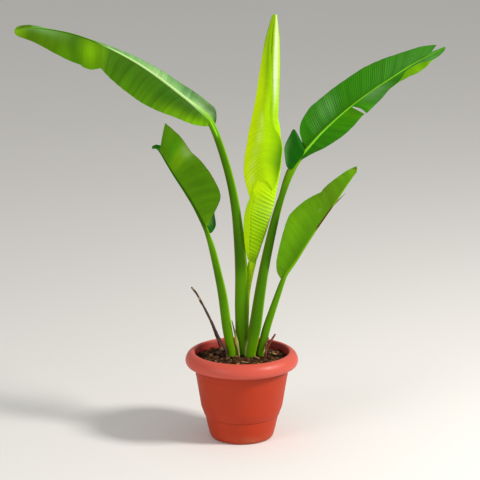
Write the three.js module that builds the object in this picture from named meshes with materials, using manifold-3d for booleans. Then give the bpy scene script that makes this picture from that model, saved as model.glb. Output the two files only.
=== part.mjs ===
// A young travelers palm in a rolled-rim plastic nursery pot.
// Millimetres, +Z up. The origin is the middle of the pot's base, on the surface it stands on.
// The five leaves fan out in the X-Z plane; -Y is the front.

import * as THREE from 'three';
import { mergeVertices } from 'three/addons/utils/BufferGeometryUtils.js';
import Module from 'manifold-3d';

// ---------- driving dimensions ----------

const RIM_RADIUS = 127; // a 10 inch pot, measured across its rolled rim
const RIM_TOP = 200.5;
const WALL = 2.6;
const POT_SIDES = 32;
const FLOOR_TOP = 6;
const DRAIN_HOLE_RADIUS = 6;
const DRAIN_HOLE_RING = 40;
const DRAIN_HOLE_COUNT = 4;

const FIT_GAP = 0.3; // clearance between neighbouring solids
const SOIL_EDGE_HEIGHT = 182;
const SOIL_CROWN = 8; // how much higher the soil is in the middle
const SOIL_RIPPLE = 1.6;
const CHIP_COUNT = 30;

const ROOT_BOTTOM = 150; // how far down the stems stand in the soil
const STEM_FLATNESS = 0.65; // stem depth over stem width
const STEM_SIDES = 8;
const STEM_STEPS_PER_SPAN = 1;

const BLADE_THICKNESS = 0.8;
const PLEAT_PITCH = 30; // one ridge and one valley along the blade
const PLEAT_HEIGHT = 0.9;

// ---------- leaves ----------
// stem: [x, y, z, half width] from the soil up the petiole and along the midrib to the tip.
// blades: pieces of blade between tears. Each row is [place along the stem, guide point, ...]:
// a vein runs from that place on the midrib through the guide points to the margin.

const LEAVES = {
  leaf_left_tall: {
    colour: '#4f8f14',
    stem: [
      [0.5, 6, 192, 14], [0.2, 6, 302, 15.8], [-2, 4.3, 402, 13.6], [-12, 1, 515, 10.2],
      [-26, -1, 595, 8.8], [-50, -3, 678, 8], [-72, -5, 729, 7.4], [-101, -6, 759, 4.4],
      [-128, -8, 782, 3.7], [-182, -11, 825, 3.1], [-236, -14, 862, 2.6], [-298, -18, 895, 2.2],
      [-364, -22, 921, 1.9], [-426, -26, 934, 1.6], [-469, -29, 936, 1.3], [-493, -31, 929, 1],
    ],
    blades: {
      near_half: [
        [6, [-74, -9, 716]], [6.35, [-95, -17, 719]], [6.8, [-121, -24, 728]],
        [7.4, [-146, -30, 740]], [8.2, [-182, -36, 755]], [8.8, [-218, -40, 774]],
        [9.4, [-244, -42, 793]], [9.95, [-271, -43, 815]], [10.6, [-292, -44, 835]],
        [11.15, [-306, -44, 851]],
      ],
      near_half_beyond_tear: [
        [11.15, [-304, -52, 853]], [11.3, [-315, -53, 851]], [11.45, [-328, -53, 850]],
        [11.6, [-344, -52, 855]], [11.7, [-350, -50, 860]], [11.9, [-366, -48, 865]],
        [12.35, [-396, -46, 879]], [12.85, [-430, -43, 897]], [13.35, [-451, -40, 908]],
        [13.9, [-471, -37, 915]], [14.45, [-484, -34, 919]], [14.9, [-492, -32, 925]],
      ],
      far_half: [
        [6, [-59, 8, 717]], [6.25, [-56, 30, 727]], [6.6, [-59, 50, 744]],
        [7.1, [-76, 62, 758]], [7.7, [-103, 66, 778]], [8.4, [-141, 66, 803]],
        [9, [-172, 64, 824]], [9.6, [-205, 61, 844]], [10.2, [-241, 57, 863]],
        [11, [-293, 49, 886]], [11.6, [-335, 41, 902]], [12.2, [-375, 31, 915]],
        [12.8, [-413, 19, 926]], [13.4, [-447, 3, 937]], [14, [-471, -12, 941]],
        [14.5, [-487, -22, 939]], [14.9, [-493, -28, 933]],
      ],
    },
    belly: { near_half: 6, near_half_beyond_tear: 5, far_half: -8 },
  },
  leaf_right_tall: {
    colour: '#3c8a22',
    stem: [
      [19, -11, 199, 12.5], [30, -10, 260, 14], [40, -8, 331, 12.4], [52, -6, 404, 10.8],
      [72, -3, 498, 9], [89, 0, 558, 7.1], [108, 2, 612, 9.2], [137, 5, 653, 5.2],
      [176, 8, 698, 3.8], [220, 12, 739, 3.3], [268, 17, 777, 2.9], [324, 22, 814, 2.5],
      [362, 26, 839, 2.1], [395, 29, 858, 1.7], [424, 31, 872, 1.3], [448, 33, 885, 1],
    ],
    blades: {
      torn_lobe: [
        [6, [109.5, -6, 620], [104, -6, 619.5]], [6.12, [113.5, -5.5, 624], [98.5, -4, 626]],
        [6.35, [118, -4, 631.5], [95.5, 3, 641]], [6.55, [123, -3, 640], [94.5, 14, 665]],
        [6.7, [128.5, -2, 647], [105.5, 22, 688.5]], [6.8, [133, -1, 652], [115.5, 25, 703]],
        [6.92, [136, 0, 656], [128.5, 20, 683]], [7.02, [138.5, 2, 659], [139.5, 11, 664]],
      ],
      upper_half: [
        [7.06, [139, 6, 664]], [7.15, [133, 18, 680]], [7.35, [128, 30, 698]],
        [7.6, [133, 39, 720]], [8, [150, 47, 746]], [8.5, [173, 52, 766]],
        [9, [203, 55, 790]], [9.5, [233, 57, 811]], [10, [269, 58, 835]],
        [10.6, [308, 58, 853]], [11.2, [349, 56, 868]], [11.9, [391, 52, 882]],
        [12.5, [416, 48, 887]], [12.95, [429, 45, 888]],
      ],
      upper_tip: [
        [12.98, [404, 31, 867]], [13.5, [418, 33, 875]], [14.2, [436, 34, 882]],
        [14.9, [447, 34, 886]],
      ],
      lower_half: [
        [6.75, [130, 0, 638]], [7.15, [156, -8, 655]], [7.55, [185, -16, 671]],
        [8, [220, -22, 696]], [8.5, [245, -24, 720]], [9, [261, -22, 739]],
        [9.43, [269, -18, 745.5]],
      ],
      lower_half_beyond_tear: [
        [9.47, [260, -13, 756.5], [273, -24, 748]], [9.9, [294, -20, 772.5], [300, -24, 775.5]],
        [10.4, [317, -16, 798], [323, -21, 801]], [10.75, [339, -12, 813], [344, -18, 819]],
        [11.2, [364, -10, 826], [359, -6, 838]], [11.7, [382, -8, 834], [375, 0, 848]],
        [12.4, [399, 0, 843], [393, 8, 855]], [13, [414, 10, 857], [412, 8, 859]],
        [13.6, [427, 20, 865], [428, 18, 865]], [14.3, [438, 27, 872], [439, 26, 872]],
        [14.9, [447, 32, 882], [448, 31, 882]],
      ],
    },
    belly: { upper_half: -5 },
  },
  leaf_left_low: {
    colour: '#467f10',
    stem: [
      [-22, -5, 194, 10.5], [-33, -5, 256, 11], [-43, -4, 330, 10], [-53, -2, 380, 8.6],
      [-65, -1, 433, 7.4], [-73, 0, 460, 5.9], [-82, 0, 485, 4.8], [-105, 0, 532, 3.4],
      [-127, 0, 569, 2.9], [-147, 0, 600, 2.5], [-165, 0, 630, 2.1], [-179, 1, 654, 1.6],
      [-188, 4, 663.5, 1.2], [-199, 7, 666.5, 0.6],
    ],
    blades: {
      near_half: [
        [5.85, [-73, -6, 490]], [6.15, [-67, -14, 511]], [6.5, [-60, -20, 525]],
        [6.8, [-52, -25, 543]], [7.1, [-47, -28, 560]], [7.5, [-49, -30, 575]],
        [7.9, [-58, -31, 595]], [8.4, [-71, -31, 618]], [8.9, [-89, -30, 642]],
        [9.3, [-111, -29, 663]], [9.7, [-124, -28, 682]], [10.1, [-135, -27, 697]],
        [10.6, [-153, -25, 714]], [11.2, [-168, -23, 726]],
      ],
      far_half: [
        [5.75, [-64, 7, 475]], [6, [-58, 13, 487]], [6.25, [-60, 19, 506]],
        [6.8, [-63, 25, 532]], [7.4, [-63, 29, 556]], [8, [-76, 31, 579]],
        [8.6, [-94, 31, 606]], [9.2, [-118, 30, 631]], [9.8, [-138, 28, 654]],
        [10.4, [-158, 24, 668]], [11, [-172, 18, 667]], [11.7, [-182, 10, 670]],
        [12.4, [-190, 9, 671.5]], [12.9, [-198, 7.5, 668]],
      ],
    },
    belly: { near_half: 5, far_half: -5 },
  },
  leaf_right_low: {
    colour: '#559c0c',
    stem: [
      [43, -3, 199, 9], [54, -3, 248, 9.2], [67, -2, 290, 8], [80, -1, 329, 7],
      [91, 0, 361, 5.8], [99, 0, 379, 4.8], [119, 0, 407, 3.6], [141.5, 0, 444, 3.1],
      [165.5, 0, 482, 2.7], [184.5, 0, 510, 2.4], [205, 0, 540, 2.1], [232.5, 0, 583, 1.9],
      [248.5, 0, 607, 1.5], [255, 0, 619, 1],
    ],
    blades: {
      near_half: [
        [4.5, [87, -5, 369]], [4.85, [79, -12, 386]], [5.2, [77, -19, 411]],
        [5.7, [82, -25, 441]], [6.3, [89, -28, 472]], [6.9, [98, -30, 503]],
        [7.3, [106, -31, 522]], [7.8, [122, -31, 539]], [8.3, [140, -30, 554]],
        [8.9, [159, -29, 565]], [9.4, [174, -28, 572]], [9.65, [179, -27, 578.5]],
        [10.1, [190, -25, 589]], [10.8, [209, -20, 603]], [11.5, [231, -13, 617]],
        [12.3, [244, -7, 621.5]], [12.9, [253, -3, 621.5]],
      ],
      far_half: [
        [4.55, [94, 5, 369]], [5.2, [96, 16, 401]], [6, [105, 26, 442]],
        [7, [122, 32, 485]], [8, [149, 34, 521]], [8.8, [171, 36, 525]],
        [9.4, [189, 36, 524]], [9.9, [206, 35, 539]], [10.3, [216, 32, 555]],
        [10.9, [224, 22, 573]], [11.6, [237, 12, 592]], [12.3, [248, 6, 608]],
        [12.9, [254, 2, 616]],
      ],
      far_sliver: [[9.5, [227.5, 5, 560]], [10, [230, 5, 562.5]]],
    },
    belly: { near_half: 5, far_half: -5 },
  },
  leaf_centre_young: {
    colour: '#a4d80e',
    stem: [
      [8, 25, 189, 7.6], [8.5, 24, 265, 7.6], [12, 22, 336, 7.6], [23, 14, 400, 9.1],
      [33, 12, 421, 4.7], [49, 11, 471, 3.7], [64, 10, 526, 3.3], [74, 10, 577, 3],
      [79, 10, 635, 2.6], [77, 10, 703, 2.3], [75, 8, 771, 2], [74, 4, 838, 1.7],
      [74.5, 0, 905, 1.4], [73.5, -3, 964, 1],
    ],
    blades: {
      inner_half: [
        [3.55, [29, 2, 404], [14, 7, 410], [17, 4, 418]],
        [3.95, [34, -1, 421], [9, 0, 433], [16, -6, 443]],
        [4.4, [41, -3, 446], [6, -4, 463], [17, -11, 477]],
        [4.95, [49, -3, 471], [5, -6, 494], [17, -13, 511]],
        [5.5, [57, -4, 500], [10, -6, 523], [19, -12, 536]],
        [6.05, [65, -6, 528], [18.5, -5, 548], [27, -11, 561]],
        [6.75, [74, -7, 567], [42, -13, 592], [24, -6, 597]],
        [7.7, [87, -2, 636], [63, -14, 640], [46, -12, 636]],
        [9, [84.5, -1, 705], [70, -13, 707], [50, -12, 703]],
        [9.45, [79.5, -2, 735], [69, -13, 737], [51, -12, 734]],
        [10, [81, -2, 772], [70, -12, 774], [54, -11, 773]],
        [11, [83, -3, 839], [71, -11, 840], [58, -9, 837]],
        [12, [82, -3, 905], [73, -9, 906], [64, -7, 903]],
        [12.9, [76, -4, 961], [74.5, -7, 963], [70, -6, 962]],
      ],
      outer_half: [
        [6.5, [46, 14, 551], [19, 2, 549], [47, -15, 596], [71, -12, 573]],
        [6.8, [37, 17, 568], [12, 2, 574], [46, -17, 619], [80, -12, 599]],
        [7.3, [35, 20, 597], [5, 2, 606], [43, -19, 646], [87, -12, 633]],
        [7.9, [35, 21, 633], [6, 2, 642], [45, -20, 673], [90, -12, 665]],
        [8.4, [39, 21, 663], [11, 2, 675], [46, -20, 700], [86, -13, 690]],
        [8.8, [41, 20, 688], [15, 2, 702], [45, -20, 725], [72, -17, 715]],
        [9.2, [43, 20, 715], [21, 2, 729], [46, -19, 751], [66, -17, 742]],
        [10, [50, 17, 767], [31, 1, 781], [51, -17, 797], [67, -16, 788]],
        [11, [55, 13, 834], [40, 0, 843], [54, -14, 854], [65, -14, 850]],
        [12, [62, 8, 901], [51, -1, 905], [58, -10, 911], [65, -11, 911]],
        [12.9, [69, 2, 959], [65.5, -1, 959.5], [68, -6, 962.5], [72, -8, 963.5]],
      ],
    },
    belly: {},
  },
};

// ---------- dry remains of old leaves ----------
// strands: [x, y, z, half width] from the soil to the broken end.

const DRY_PIECES = {
  dry_stalk: {
    colour: '#4b3222',
    flatness: 0.8,
    strands: [
      [[-35, -14, 205, 4], [-49, -12, 229, 3.6], [-64, -10, 262, 3.4], [-83, -8, 301, 3.2],
        [-100, -6, 333, 2.8], [-112, -5, 349, 2.2]],
      [[-43, -9, 198, 2.2], [-58, -9, 238, 2], [-72, -9.4, 277, 1.6]],
    ],
  },
  dry_stub: {
    colour: '#6a3622',
    flatness: 0.8,
    strands: [
      [[52, -15, 197, 3.4], [61, -14, 219, 3.2], [75, -12, 242, 2.4]],
      [[54, -16, 197, 2.6], [55, -16, 217, 2.4], [60, -15, 235, 1.8]],
    ],
  },
  dry_sheath: {
    colour: '#b39b6c',
    flatness: 0.3,
    strands: [
      [[-6, -9, 196, 4.6], [-12, -9, 231, 3.6], [-22, -10, 273, 1.4]],
    ],
  },
};

// ---------- solids ----------

const wasm = await Module();
wasm.setup();

function toManifold(geometry) {
  const bare = geometry.clone();
  bare.deleteAttribute('normal');
  bare.deleteAttribute('uv');
  const merged = mergeVertices(bare, 1e-4);
  return new wasm.Manifold(new wasm.Mesh({
    numProp: 3,
    vertProperties: new Float32Array(merged.attributes.position.array),
    triVerts: new Uint32Array(merged.index.array),
  }));
}

function toGeometry(solid) {
  const mesh = solid.getMesh();
  const geometry = new THREE.BufferGeometry();
  geometry.setAttribute('position', new THREE.BufferAttribute(mesh.vertProperties, 3));
  geometry.setIndex(new THREE.BufferAttribute(mesh.triVerts, 1));
  geometry.computeVertexNormals();
  return geometry;
}

function joined(solids) {
  return solids.reduce((sum, solid) => sum.add(solid));
}

function gridGeometry(points, indices) {
  const geometry = new THREE.BufferGeometry();
  geometry.setFromPoints(points);
  geometry.setIndex(indices);
  return geometry;
}

function seededRandom(seed) {
  let state = seed;
  return () => {
    state = (state * 1664525 + 1013904223) % 4294967296;
    return state / 4294967296;
  };
}

// ---------- curves ----------

function splineThrough(rows) {
  const vectors = rows.map(([x, y, z]) => new THREE.Vector3(x, y, z));
  const curve = new THREE.CatmullRomCurve3(vectors, false, 'catmullrom', 0.5);
  const last = rows.length - 1;
  return (place) => curve.getPoint(THREE.MathUtils.clamp(place / last, 0, 1));
}

function linearThrough(values) {
  const last = values.length - 1;
  return (place) => {
    const index = Math.min(Math.floor(place), last - 1);
    return THREE.MathUtils.lerp(values[index], values[index + 1], place - index);
  };
}

// ---------- stems ----------

function stemRing(centre, tangent, halfWidth, flatness) {
  const across = new THREE.Vector3(0, 1, 0).cross(tangent).normalize();
  const through = new THREE.Vector3().crossVectors(tangent, across).normalize();
  const ring = [];
  for (let side = 0; side < STEM_SIDES; side += 1) {
    const angle = (2 * Math.PI * side) / STEM_SIDES;
    const point = centre.clone();
    point.addScaledVector(across, halfWidth * Math.cos(angle));
    point.addScaledVector(through, halfWidth * flatness * Math.sin(angle));
    ring.push(point);
  }
  return ring;
}

function ringsToGeometry(rings) {
  const sides = rings[0].length;
  const points = rings.flat();
  const indices = [];
  for (let level = 0; level + 1 < rings.length; level += 1) {
    for (let side = 0; side < sides; side += 1) {
      const next = (side + 1) % sides;
      const a = level * sides + side;
      const b = level * sides + next;
      const c = (level + 1) * sides + next;
      const d = (level + 1) * sides + side;
      indices.push(a, b, c, a, c, d);
    }
  }
  const top = (rings.length - 1) * sides;
  for (let side = 1; side + 1 < sides; side += 1) {
    indices.push(0, side + 1, side);
    indices.push(top, top + side, top + side + 1);
  }
  return gridGeometry(points, indices);
}

// The root stands straight up in the soil; above it the stem bends along its curve.
function stemGeometry(rows, flatness) {
  const centre = splineThrough(rows);
  const halfWidth = linearThrough(rows.map((row) => row[3]));
  const up = new THREE.Vector3(0, 0, 1);
  const foot = centre(0);
  const buried = new THREE.Vector3(foot.x, foot.y, ROOT_BOTTOM);
  const rings = [
    stemRing(buried, up, halfWidth(0), flatness),
    stemRing(foot, up, halfWidth(0), flatness),
  ];
  const last = rows.length - 1;
  const steps = last * STEM_STEPS_PER_SPAN;
  for (let step = 1; step <= steps; step += 1) {
    const place = step / STEM_STEPS_PER_SPAN;
    const ahead = centre(Math.min(place + 0.05, last));
    const tangent = ahead.sub(centre(place - 0.05)).normalize();
    rings.push(stemRing(centre(place), tangent, halfWidth(Math.min(place, last)), flatness));
  }
  return ringsToGeometry(rings);
}

// A plain hole in the soil, a little wider than the root that stands in it.
function rootHole([x, y, , halfWidth], flatness) {
  const height = RIM_TOP - ROOT_BOTTOM + 2 * FIT_GAP;
  const radius = 1 / Math.cos(Math.PI / STEM_SIDES);
  const hole = new THREE.CylinderGeometry(radius, radius, height, 2 * STEM_SIDES);
  hole.rotateX(Math.PI / 2);
  hole.scale(halfWidth + FIT_GAP, halfWidth * flatness + FIT_GAP, 1);
  hole.translate(x, y, ROOT_BOTTOM - FIT_GAP + height / 2);
  return toManifold(hole);
}

// ---------- blades ----------

// A blade surface: u runs along the rows, v from the midrib to the margin.
function bladeSurface(stem, rows, belly) {
  const onStem = splineThrough(stem);
  const place = linearThrough(rows.map((row) => row[0]));
  const guideCount = rows[0].length - 1;
  const guides = [];
  for (let guide = 1; guide <= guideCount; guide += 1) {
    guides.push(splineThrough(rows.map((row) => row[guide])));
  }
  return (u, v) => {
    const vein = [onStem(place(u)), ...guides.map((guide) => guide(u))];
    if (guideCount > 1) {
      return splineThrough(vein.map((point) => point.toArray()))(v * guideCount);
    }
    const point = vein[0].clone().lerp(vein[1], v);
    point.z += belly * Math.sin(Math.PI * v);
    return point;
  };
}

// Places along the rows at even spacing, measured down the middle of the blade.
function evenPlaces(surface, lastRow, pitch) {
  const samples = lastRow * 12;
  const lengths = [0];
  let before = surface(0, 0.6);
  for (let sample = 1; sample <= samples; sample += 1) {
    const here = surface((lastRow * sample) / samples, 0.6);
    lengths.push(lengths[sample - 1] + here.distanceTo(before));
    before = here;
  }
  const total = lengths[samples];
  const steps = Math.max(2, Math.round(total / pitch));
  const places = [0];
  let sample = 1;
  for (let step = 1; step < steps; step += 1) {
    const wanted = (total * step) / steps;
    while (lengths[sample] < wanted) sample += 1;
    const part = (wanted - lengths[sample - 1]) / (lengths[sample] - lengths[sample - 1]);
    places.push((lastRow * (sample - 1 + part)) / samples);
  }
  places.push(lastRow);
  return places;
}

function surfaceNormal(surface, u, v, lastRow) {
  const reach = 0.02;
  const alongStep = surface(Math.min(u + reach, lastRow), v);
  alongStep.sub(surface(Math.max(u - reach, 0), v));
  const acrossStep = surface(u, Math.min(v + reach, 1));
  acrossStep.sub(surface(u, Math.max(v - reach, 0)));
  return alongStep.cross(acrossStep).normalize();
}

// A thin closed skin, pleated along its veins, with the same triangles on both faces.
function bladeGeometry(stem, rows, belly) {
  const surface = bladeSurface(stem, rows, belly);
  const lastRow = rows.length - 1;
  const places = evenPlaces(surface, lastRow, PLEAT_PITCH / 2);
  const strips = rows[0].length + 1;
  const faces = [[], []];
  places.forEach((u, step) => {
    const fold = step % 2 === 0 ? 1 : -1;
    const fade = Math.min(1, step / 2, (places.length - 1 - step) / 2);
    for (let strip = 0; strip <= strips; strip += 1) {
      const v = strip / strips;
      const normal = surfaceNormal(surface, u, v, lastRow);
      const pleat = fold * fade * PLEAT_HEIGHT * Math.sin(0.5 * Math.PI * Math.min(1, 2 * v));
      faces.forEach((face, index) => {
        const offset = pleat + (index === 0 ? 0.5 : -0.5) * BLADE_THICKNESS;
        face.push(surface(u, v).addScaledVector(normal, offset));
      });
    }
  });
  return skinGeometry(faces, places.length, strips + 1);
}

function skinGeometry([front, back], rowCount, columnCount) {
  const indices = [];
  const backStart = front.length;
  for (let row = 0; row + 1 < rowCount; row += 1) {
    for (let column = 0; column + 1 < columnCount; column += 1) {
      const a = row * columnCount + column;
      const b = a + columnCount;
      const c = b + 1;
      const d = a + 1;
      indices.push(a, b, c, a, c, d);
      indices.push(backStart + a, backStart + c, backStart + b);
      indices.push(backStart + a, backStart + d, backStart + c);
    }
  }
  const rim = [];
  for (let row = 0; row + 1 < rowCount; row += 1) rim.push(row * columnCount);
  for (let column = 0; column + 1 < columnCount; column += 1) {
    rim.push((rowCount - 1) * columnCount + column);
  }
  for (let row = rowCount - 1; row > 0; row -= 1) rim.push((row + 1) * columnCount - 1);
  for (let column = columnCount - 1; column > 0; column -= 1) rim.push(column);
  rim.forEach((here, index) => {
    const next = rim[(index + 1) % rim.length];
    indices.push(here, backStart + here, backStart + next);
    indices.push(here, backStart + next, next);
  });
  return gridGeometry([...front, ...back], indices);
}

function leafSolid({ stem, blades, belly }) {
  const pieces = [toManifold(stemGeometry(stem, STEM_FLATNESS))];
  for (const [name, rows] of Object.entries(blades)) {
    pieces.push(toManifold(bladeGeometry(stem, rows, belly[name] ?? 0)));
  }
  return joined(pieces);
}

function drySolid({ strands, flatness }) {
  return joined(strands.map((rows) => toManifold(stemGeometry(rows, flatness))));
}

// ---------- pot ----------

// Outside of the wall from the foot ring up to the neck, as [radius, height].
const POT_OUTSIDE = [
  [63, 0], [68.6, 1.8], [72.2, 7], [76.8, 25], [82.2, 50], [81.4, 52.6], [84.4, 54],
  [88.4, 63], [91.8, 74], [94.6, 91], [100.7, 129], [106, 163],
];

// Outside of the rolled rim from the lip under its roll up, over the crest and inside.
const RIM_ROLL = [
  [117.5, 168.2], [123.6, 170.6], [RIM_RADIUS, 178.4], [125.6, 187],
  [121.2, 194.5], [114.4, 199.5], [109, RIM_TOP], [105.4, 197],
];

// The hollow under the roll, from its lip up and down to the neck.
const ROLL_HOLLOW = [[108.8, 165], [108.8, 194], [114, 195.5], [122, 184], [122, 176], [117.5, 171]];

function insideRadius(height) {
  const index = POT_OUTSIDE.findIndex(([, level]) => level >= height);
  const [lowRadius, low] = POT_OUTSIDE[index - 1];
  const [highRadius, high] = POT_OUTSIDE[index];
  return THREE.MathUtils.mapLinear(height, low, high, lowRadius, highRadius) - WALL;
}

const INSIDE_LEVELS = [FLOOR_TOP + 4, 50, 60, 74, 160];

function insideWall(clearance) {
  const wall = INSIDE_LEVELS.map((level) => [insideRadius(level) - clearance, level]);
  return [[insideRadius(FLOOR_TOP + 4) - 4 - clearance, FLOOR_TOP + clearance], ...wall];
}

function lathe(profile) {
  const points = profile.map(([radius, height]) => new THREE.Vector2(radius, height));
  const geometry = new THREE.LatheGeometry(points, POT_SIDES);
  geometry.rotateX(Math.PI / 2);
  return geometry;
}

function potSolid() {
  const underside = [[0, 0], [14, 0], [16, 3], [56, 3], [58, 0]];
  const insideDown = insideWall(0).reverse();
  const profile = [
    ...underside, ...POT_OUTSIDE, ...ROLL_HOLLOW, ...RIM_ROLL, ...insideDown, [0, FLOOR_TOP],
  ];
  const holes = [];
  for (let hole = 0; hole < DRAIN_HOLE_COUNT; hole += 1) {
    const angle = (2 * Math.PI * (hole + 0.5)) / DRAIN_HOLE_COUNT;
    const drill = new THREE.CylinderGeometry(
      DRAIN_HOLE_RADIUS, DRAIN_HOLE_RADIUS, 2 * FLOOR_TOP, 12,
    );
    drill.rotateX(Math.PI / 2);
    drill.translate(DRAIN_HOLE_RING * Math.cos(angle), DRAIN_HOLE_RING * Math.sin(angle), 3);
    holes.push(toManifold(drill));
  }
  return toManifold(lathe(profile)).subtract(joined(holes));
}

// ---------- soil ----------

const SOIL_RADIUS = insideRadius(160) - FIT_GAP;

function soilHeight(x, y) {
  const radius = Math.hypot(x, y) / SOIL_RADIUS;
  const ripple = Math.sin(x * 0.11 + 1.3) * Math.cos(y * 0.13 - 0.4) + Math.sin(x * 0.05 - y * 0.07);
  const mound = SOIL_CROWN * (1 - radius * radius);
  return SOIL_EDGE_HEIGHT + mound + SOIL_RIPPLE * ripple * Math.min(1, 4 * (1 - radius));
}

function soilBody() {
  const rings = [0.97, 0.8, 0.6, 0.4, 0.2];
  const top = rings.map((part) => [part * SOIL_RADIUS, SOIL_EDGE_HEIGHT]);
  const profile = [
    [0, FLOOR_TOP + FIT_GAP], ...insideWall(FIT_GAP),
    [SOIL_RADIUS, SOIL_EDGE_HEIGHT - 3], ...top, [0, SOIL_EDGE_HEIGHT],
  ];
  const geometry = lathe(profile);
  const position = geometry.attributes.position;
  for (let index = 0; index < position.count; index += 1) {
    if (position.getZ(index) > SOIL_EDGE_HEIGHT - 0.5) {
      position.setZ(index, soilHeight(position.getX(index), position.getY(index)));
    }
  }
  return toManifold(geometry);
}

// Flakes of bark lying in the top of the soil, at seeded places and angles.
function barkChips() {
  const random = seededRandom(11);
  const chips = [];
  for (let chip = 0; chip < CHIP_COUNT; chip += 1) {
    const radius = (SOIL_RADIUS - 14) * Math.sqrt(random());
    const angle = 2 * Math.PI * random();
    const x = radius * Math.cos(angle);
    const y = radius * Math.sin(angle);
    const flake = new THREE.BoxGeometry(9 + 12 * random(), 5 + 5 * random(), 5);
    flake.rotateX(0.5 * (random() - 0.5));
    flake.rotateY(0.5 * (random() - 0.5));
    flake.rotateZ(Math.PI * random());
    flake.translate(x, y, soilHeight(x, y) - 0.6);
    chips.push(toManifold(flake));
  }
  return chips;
}

function soilSolid() {
  const roots = Object.values(LEAVES).map((leaf) => rootHole(leaf.stem[0], STEM_FLATNESS));
  for (const { strands, flatness } of Object.values(DRY_PIECES)) {
    roots.push(...strands.map((rows) => rootHole(rows[0], flatness)));
  }
  return joined([soilBody(), ...barkChips()]).subtract(joined(roots));
}

// ---------- the plant in its pot ----------

function piece(name, solid, colour, roughness) {
  const material = new THREE.MeshStandardMaterial({ color: colour, roughness, metalness: 0 });
  const mesh = new THREE.Mesh(toGeometry(solid), material);
  mesh.name = name;
  return mesh;
}

const plant = new THREE.Group();
plant.add(piece('pot', potSolid(), '#b8452a', 0.45));
plant.add(piece('soil', soilSolid(), '#2f2118', 0.95));
for (const [name, leaf] of Object.entries(LEAVES)) {
  plant.add(piece(name, leafSolid(leaf), leaf.colour, 0.5));
}
for (const [name, dry] of Object.entries(DRY_PIECES)) {
  plant.add(piece(name, drySolid(dry), dry.colour, 0.9));
}

export default plant;
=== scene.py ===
"""A young travelers palm in a rolled-rim nursery pot.

Metres, +Z up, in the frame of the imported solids; -Y is the front.
The leaves fan out in the X-Z plane. Lengths in the tables below are millimetres.
"""

import math

import bpy
import numpy as np
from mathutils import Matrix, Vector


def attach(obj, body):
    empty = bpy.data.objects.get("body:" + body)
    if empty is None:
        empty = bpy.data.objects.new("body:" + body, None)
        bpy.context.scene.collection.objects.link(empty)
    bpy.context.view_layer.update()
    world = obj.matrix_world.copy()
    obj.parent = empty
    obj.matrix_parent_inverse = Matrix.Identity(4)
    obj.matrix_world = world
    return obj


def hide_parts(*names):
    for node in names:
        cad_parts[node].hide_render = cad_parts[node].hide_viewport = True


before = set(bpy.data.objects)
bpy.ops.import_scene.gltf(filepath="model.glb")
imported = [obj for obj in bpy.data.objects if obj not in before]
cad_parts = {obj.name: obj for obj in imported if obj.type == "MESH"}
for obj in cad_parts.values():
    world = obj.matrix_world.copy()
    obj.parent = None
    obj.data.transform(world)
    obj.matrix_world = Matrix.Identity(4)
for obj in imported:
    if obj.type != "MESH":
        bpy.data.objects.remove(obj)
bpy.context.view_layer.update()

bl_info = {
    "name": "Potted travelers palm",
    "version": (1, 0, 0),
    "blender": (4, 5, 0),
    "location": "3D View > Sidebar > Potted palm",
    "description": "Finished surfaces for a young travelers palm in its nursery pot",
    "category": "Object",
}

MM = 0.001
BODY = "root"


def screen(red, green, blue):
    """A screen colour, 0 to 255, as the linear values that shaders take."""
    parts = [value / 255 for value in (red, green, blue)]
    return tuple(p / 12.92 if p <= 0.04045 else ((p + 0.055) / 1.055) ** 2.4 for p in parts)


# ---------- the lines, blades and colours of the leaves ----------

LEAVES = {}


def stalk(leaf, line, **looks):
    """A leaf's stalk and midrib.

    line: x, y, z and half width, from the soil up the stalk and along the midrib to the tip, as
    the leaf's solid has them. channel_side: the angle of the groove, from the right over the back.
    tones: colours along the stalk, by share of its length. strips: angle, half width as an angle,
    lowest and highest point, and colour, on its side.
    """
    LEAVES[leaf] = {"line": line, "looks": looks, "blades": {}}


def blade(leaf, part, rows, **looks):
    """A piece of a leaf's blade, between tears.

    rows: a place on the leaf's line, then x, y, z of the points that a vein runs through from
    there to the margin. tones: colours along the piece, by share of its length, on the side to
    the front; one name is one colour all along. spots: place along, place across, reach along,
    reach across, colour and strength of a soft patch; some of them are painted sheen, highlights
    and shadows. behind and behind_spots: the same for the other side. belly: how far the blade
    bulges up. pitch: from one fine pleat to the next, in metres. height and ridge: how high the
    pleats stand and how much paler their crests are, along the piece; the paler crests are partly
    paler veins and partly a painted highlight. calm: where across the blade they fade. wave: how
    much of the broad waves it has.
    streak: how strongly its tone changes from vein to vein. edge: its margin.
    """
    LEAVES[leaf]["blades"][part] = rows, looks


stalk(
    "leaf_left_tall", channel_side=-0.55,
    tones={
        0: "fresh", 0.08: "moss", 0.2: "moss", 0.24: "olive", 0.28: "olive", 0.33: "stem", 0.5: "stem",
        # The pale midrib is partly its own colour and partly a painted highlight; olive from 0.83 to
        # 0.92 is a painted shadow along the midrib's lower side.
        0.55: "fresh", 0.6: "pale", 0.79: "pale", 0.83: "olive", 0.92: "olive", 0.96: "moss",
        1: "fresh",
    },
    strips=[
        (-0.35, 0.3, 215, 400, "fresh"), (-0.9, 0.28, 188, 226, "straw"),
        # The mint strip from 695 to 760 mm is a painted highlight on the bend of the stalk.
        (-2.6, 0.5, 188, 216, "straw"), (-1.1, 0.3, 695, 760, "mint"),
    ],
    line=[
        (0.5, 6, 192, 14), (0.2, 6, 302, 15.8), (-2, 4.3, 402, 13.6), (-12, 1, 515, 10.2),
        (-26, -1, 595, 8.8), (-50, -3, 678, 8), (-72, -5, 729, 7.4), (-101, -6, 759, 4.4),
        (-128, -8, 782, 3.7), (-182, -11, 825, 3.1), (-236, -14, 862, 2.6), (-298, -18, 895, 2.2),
        (-364, -22, 921, 1.9), (-426, -26, 934, 1.6), (-469, -29, 936, 1.3), (-493, -31, 929, 1),
    ],
)
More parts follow.
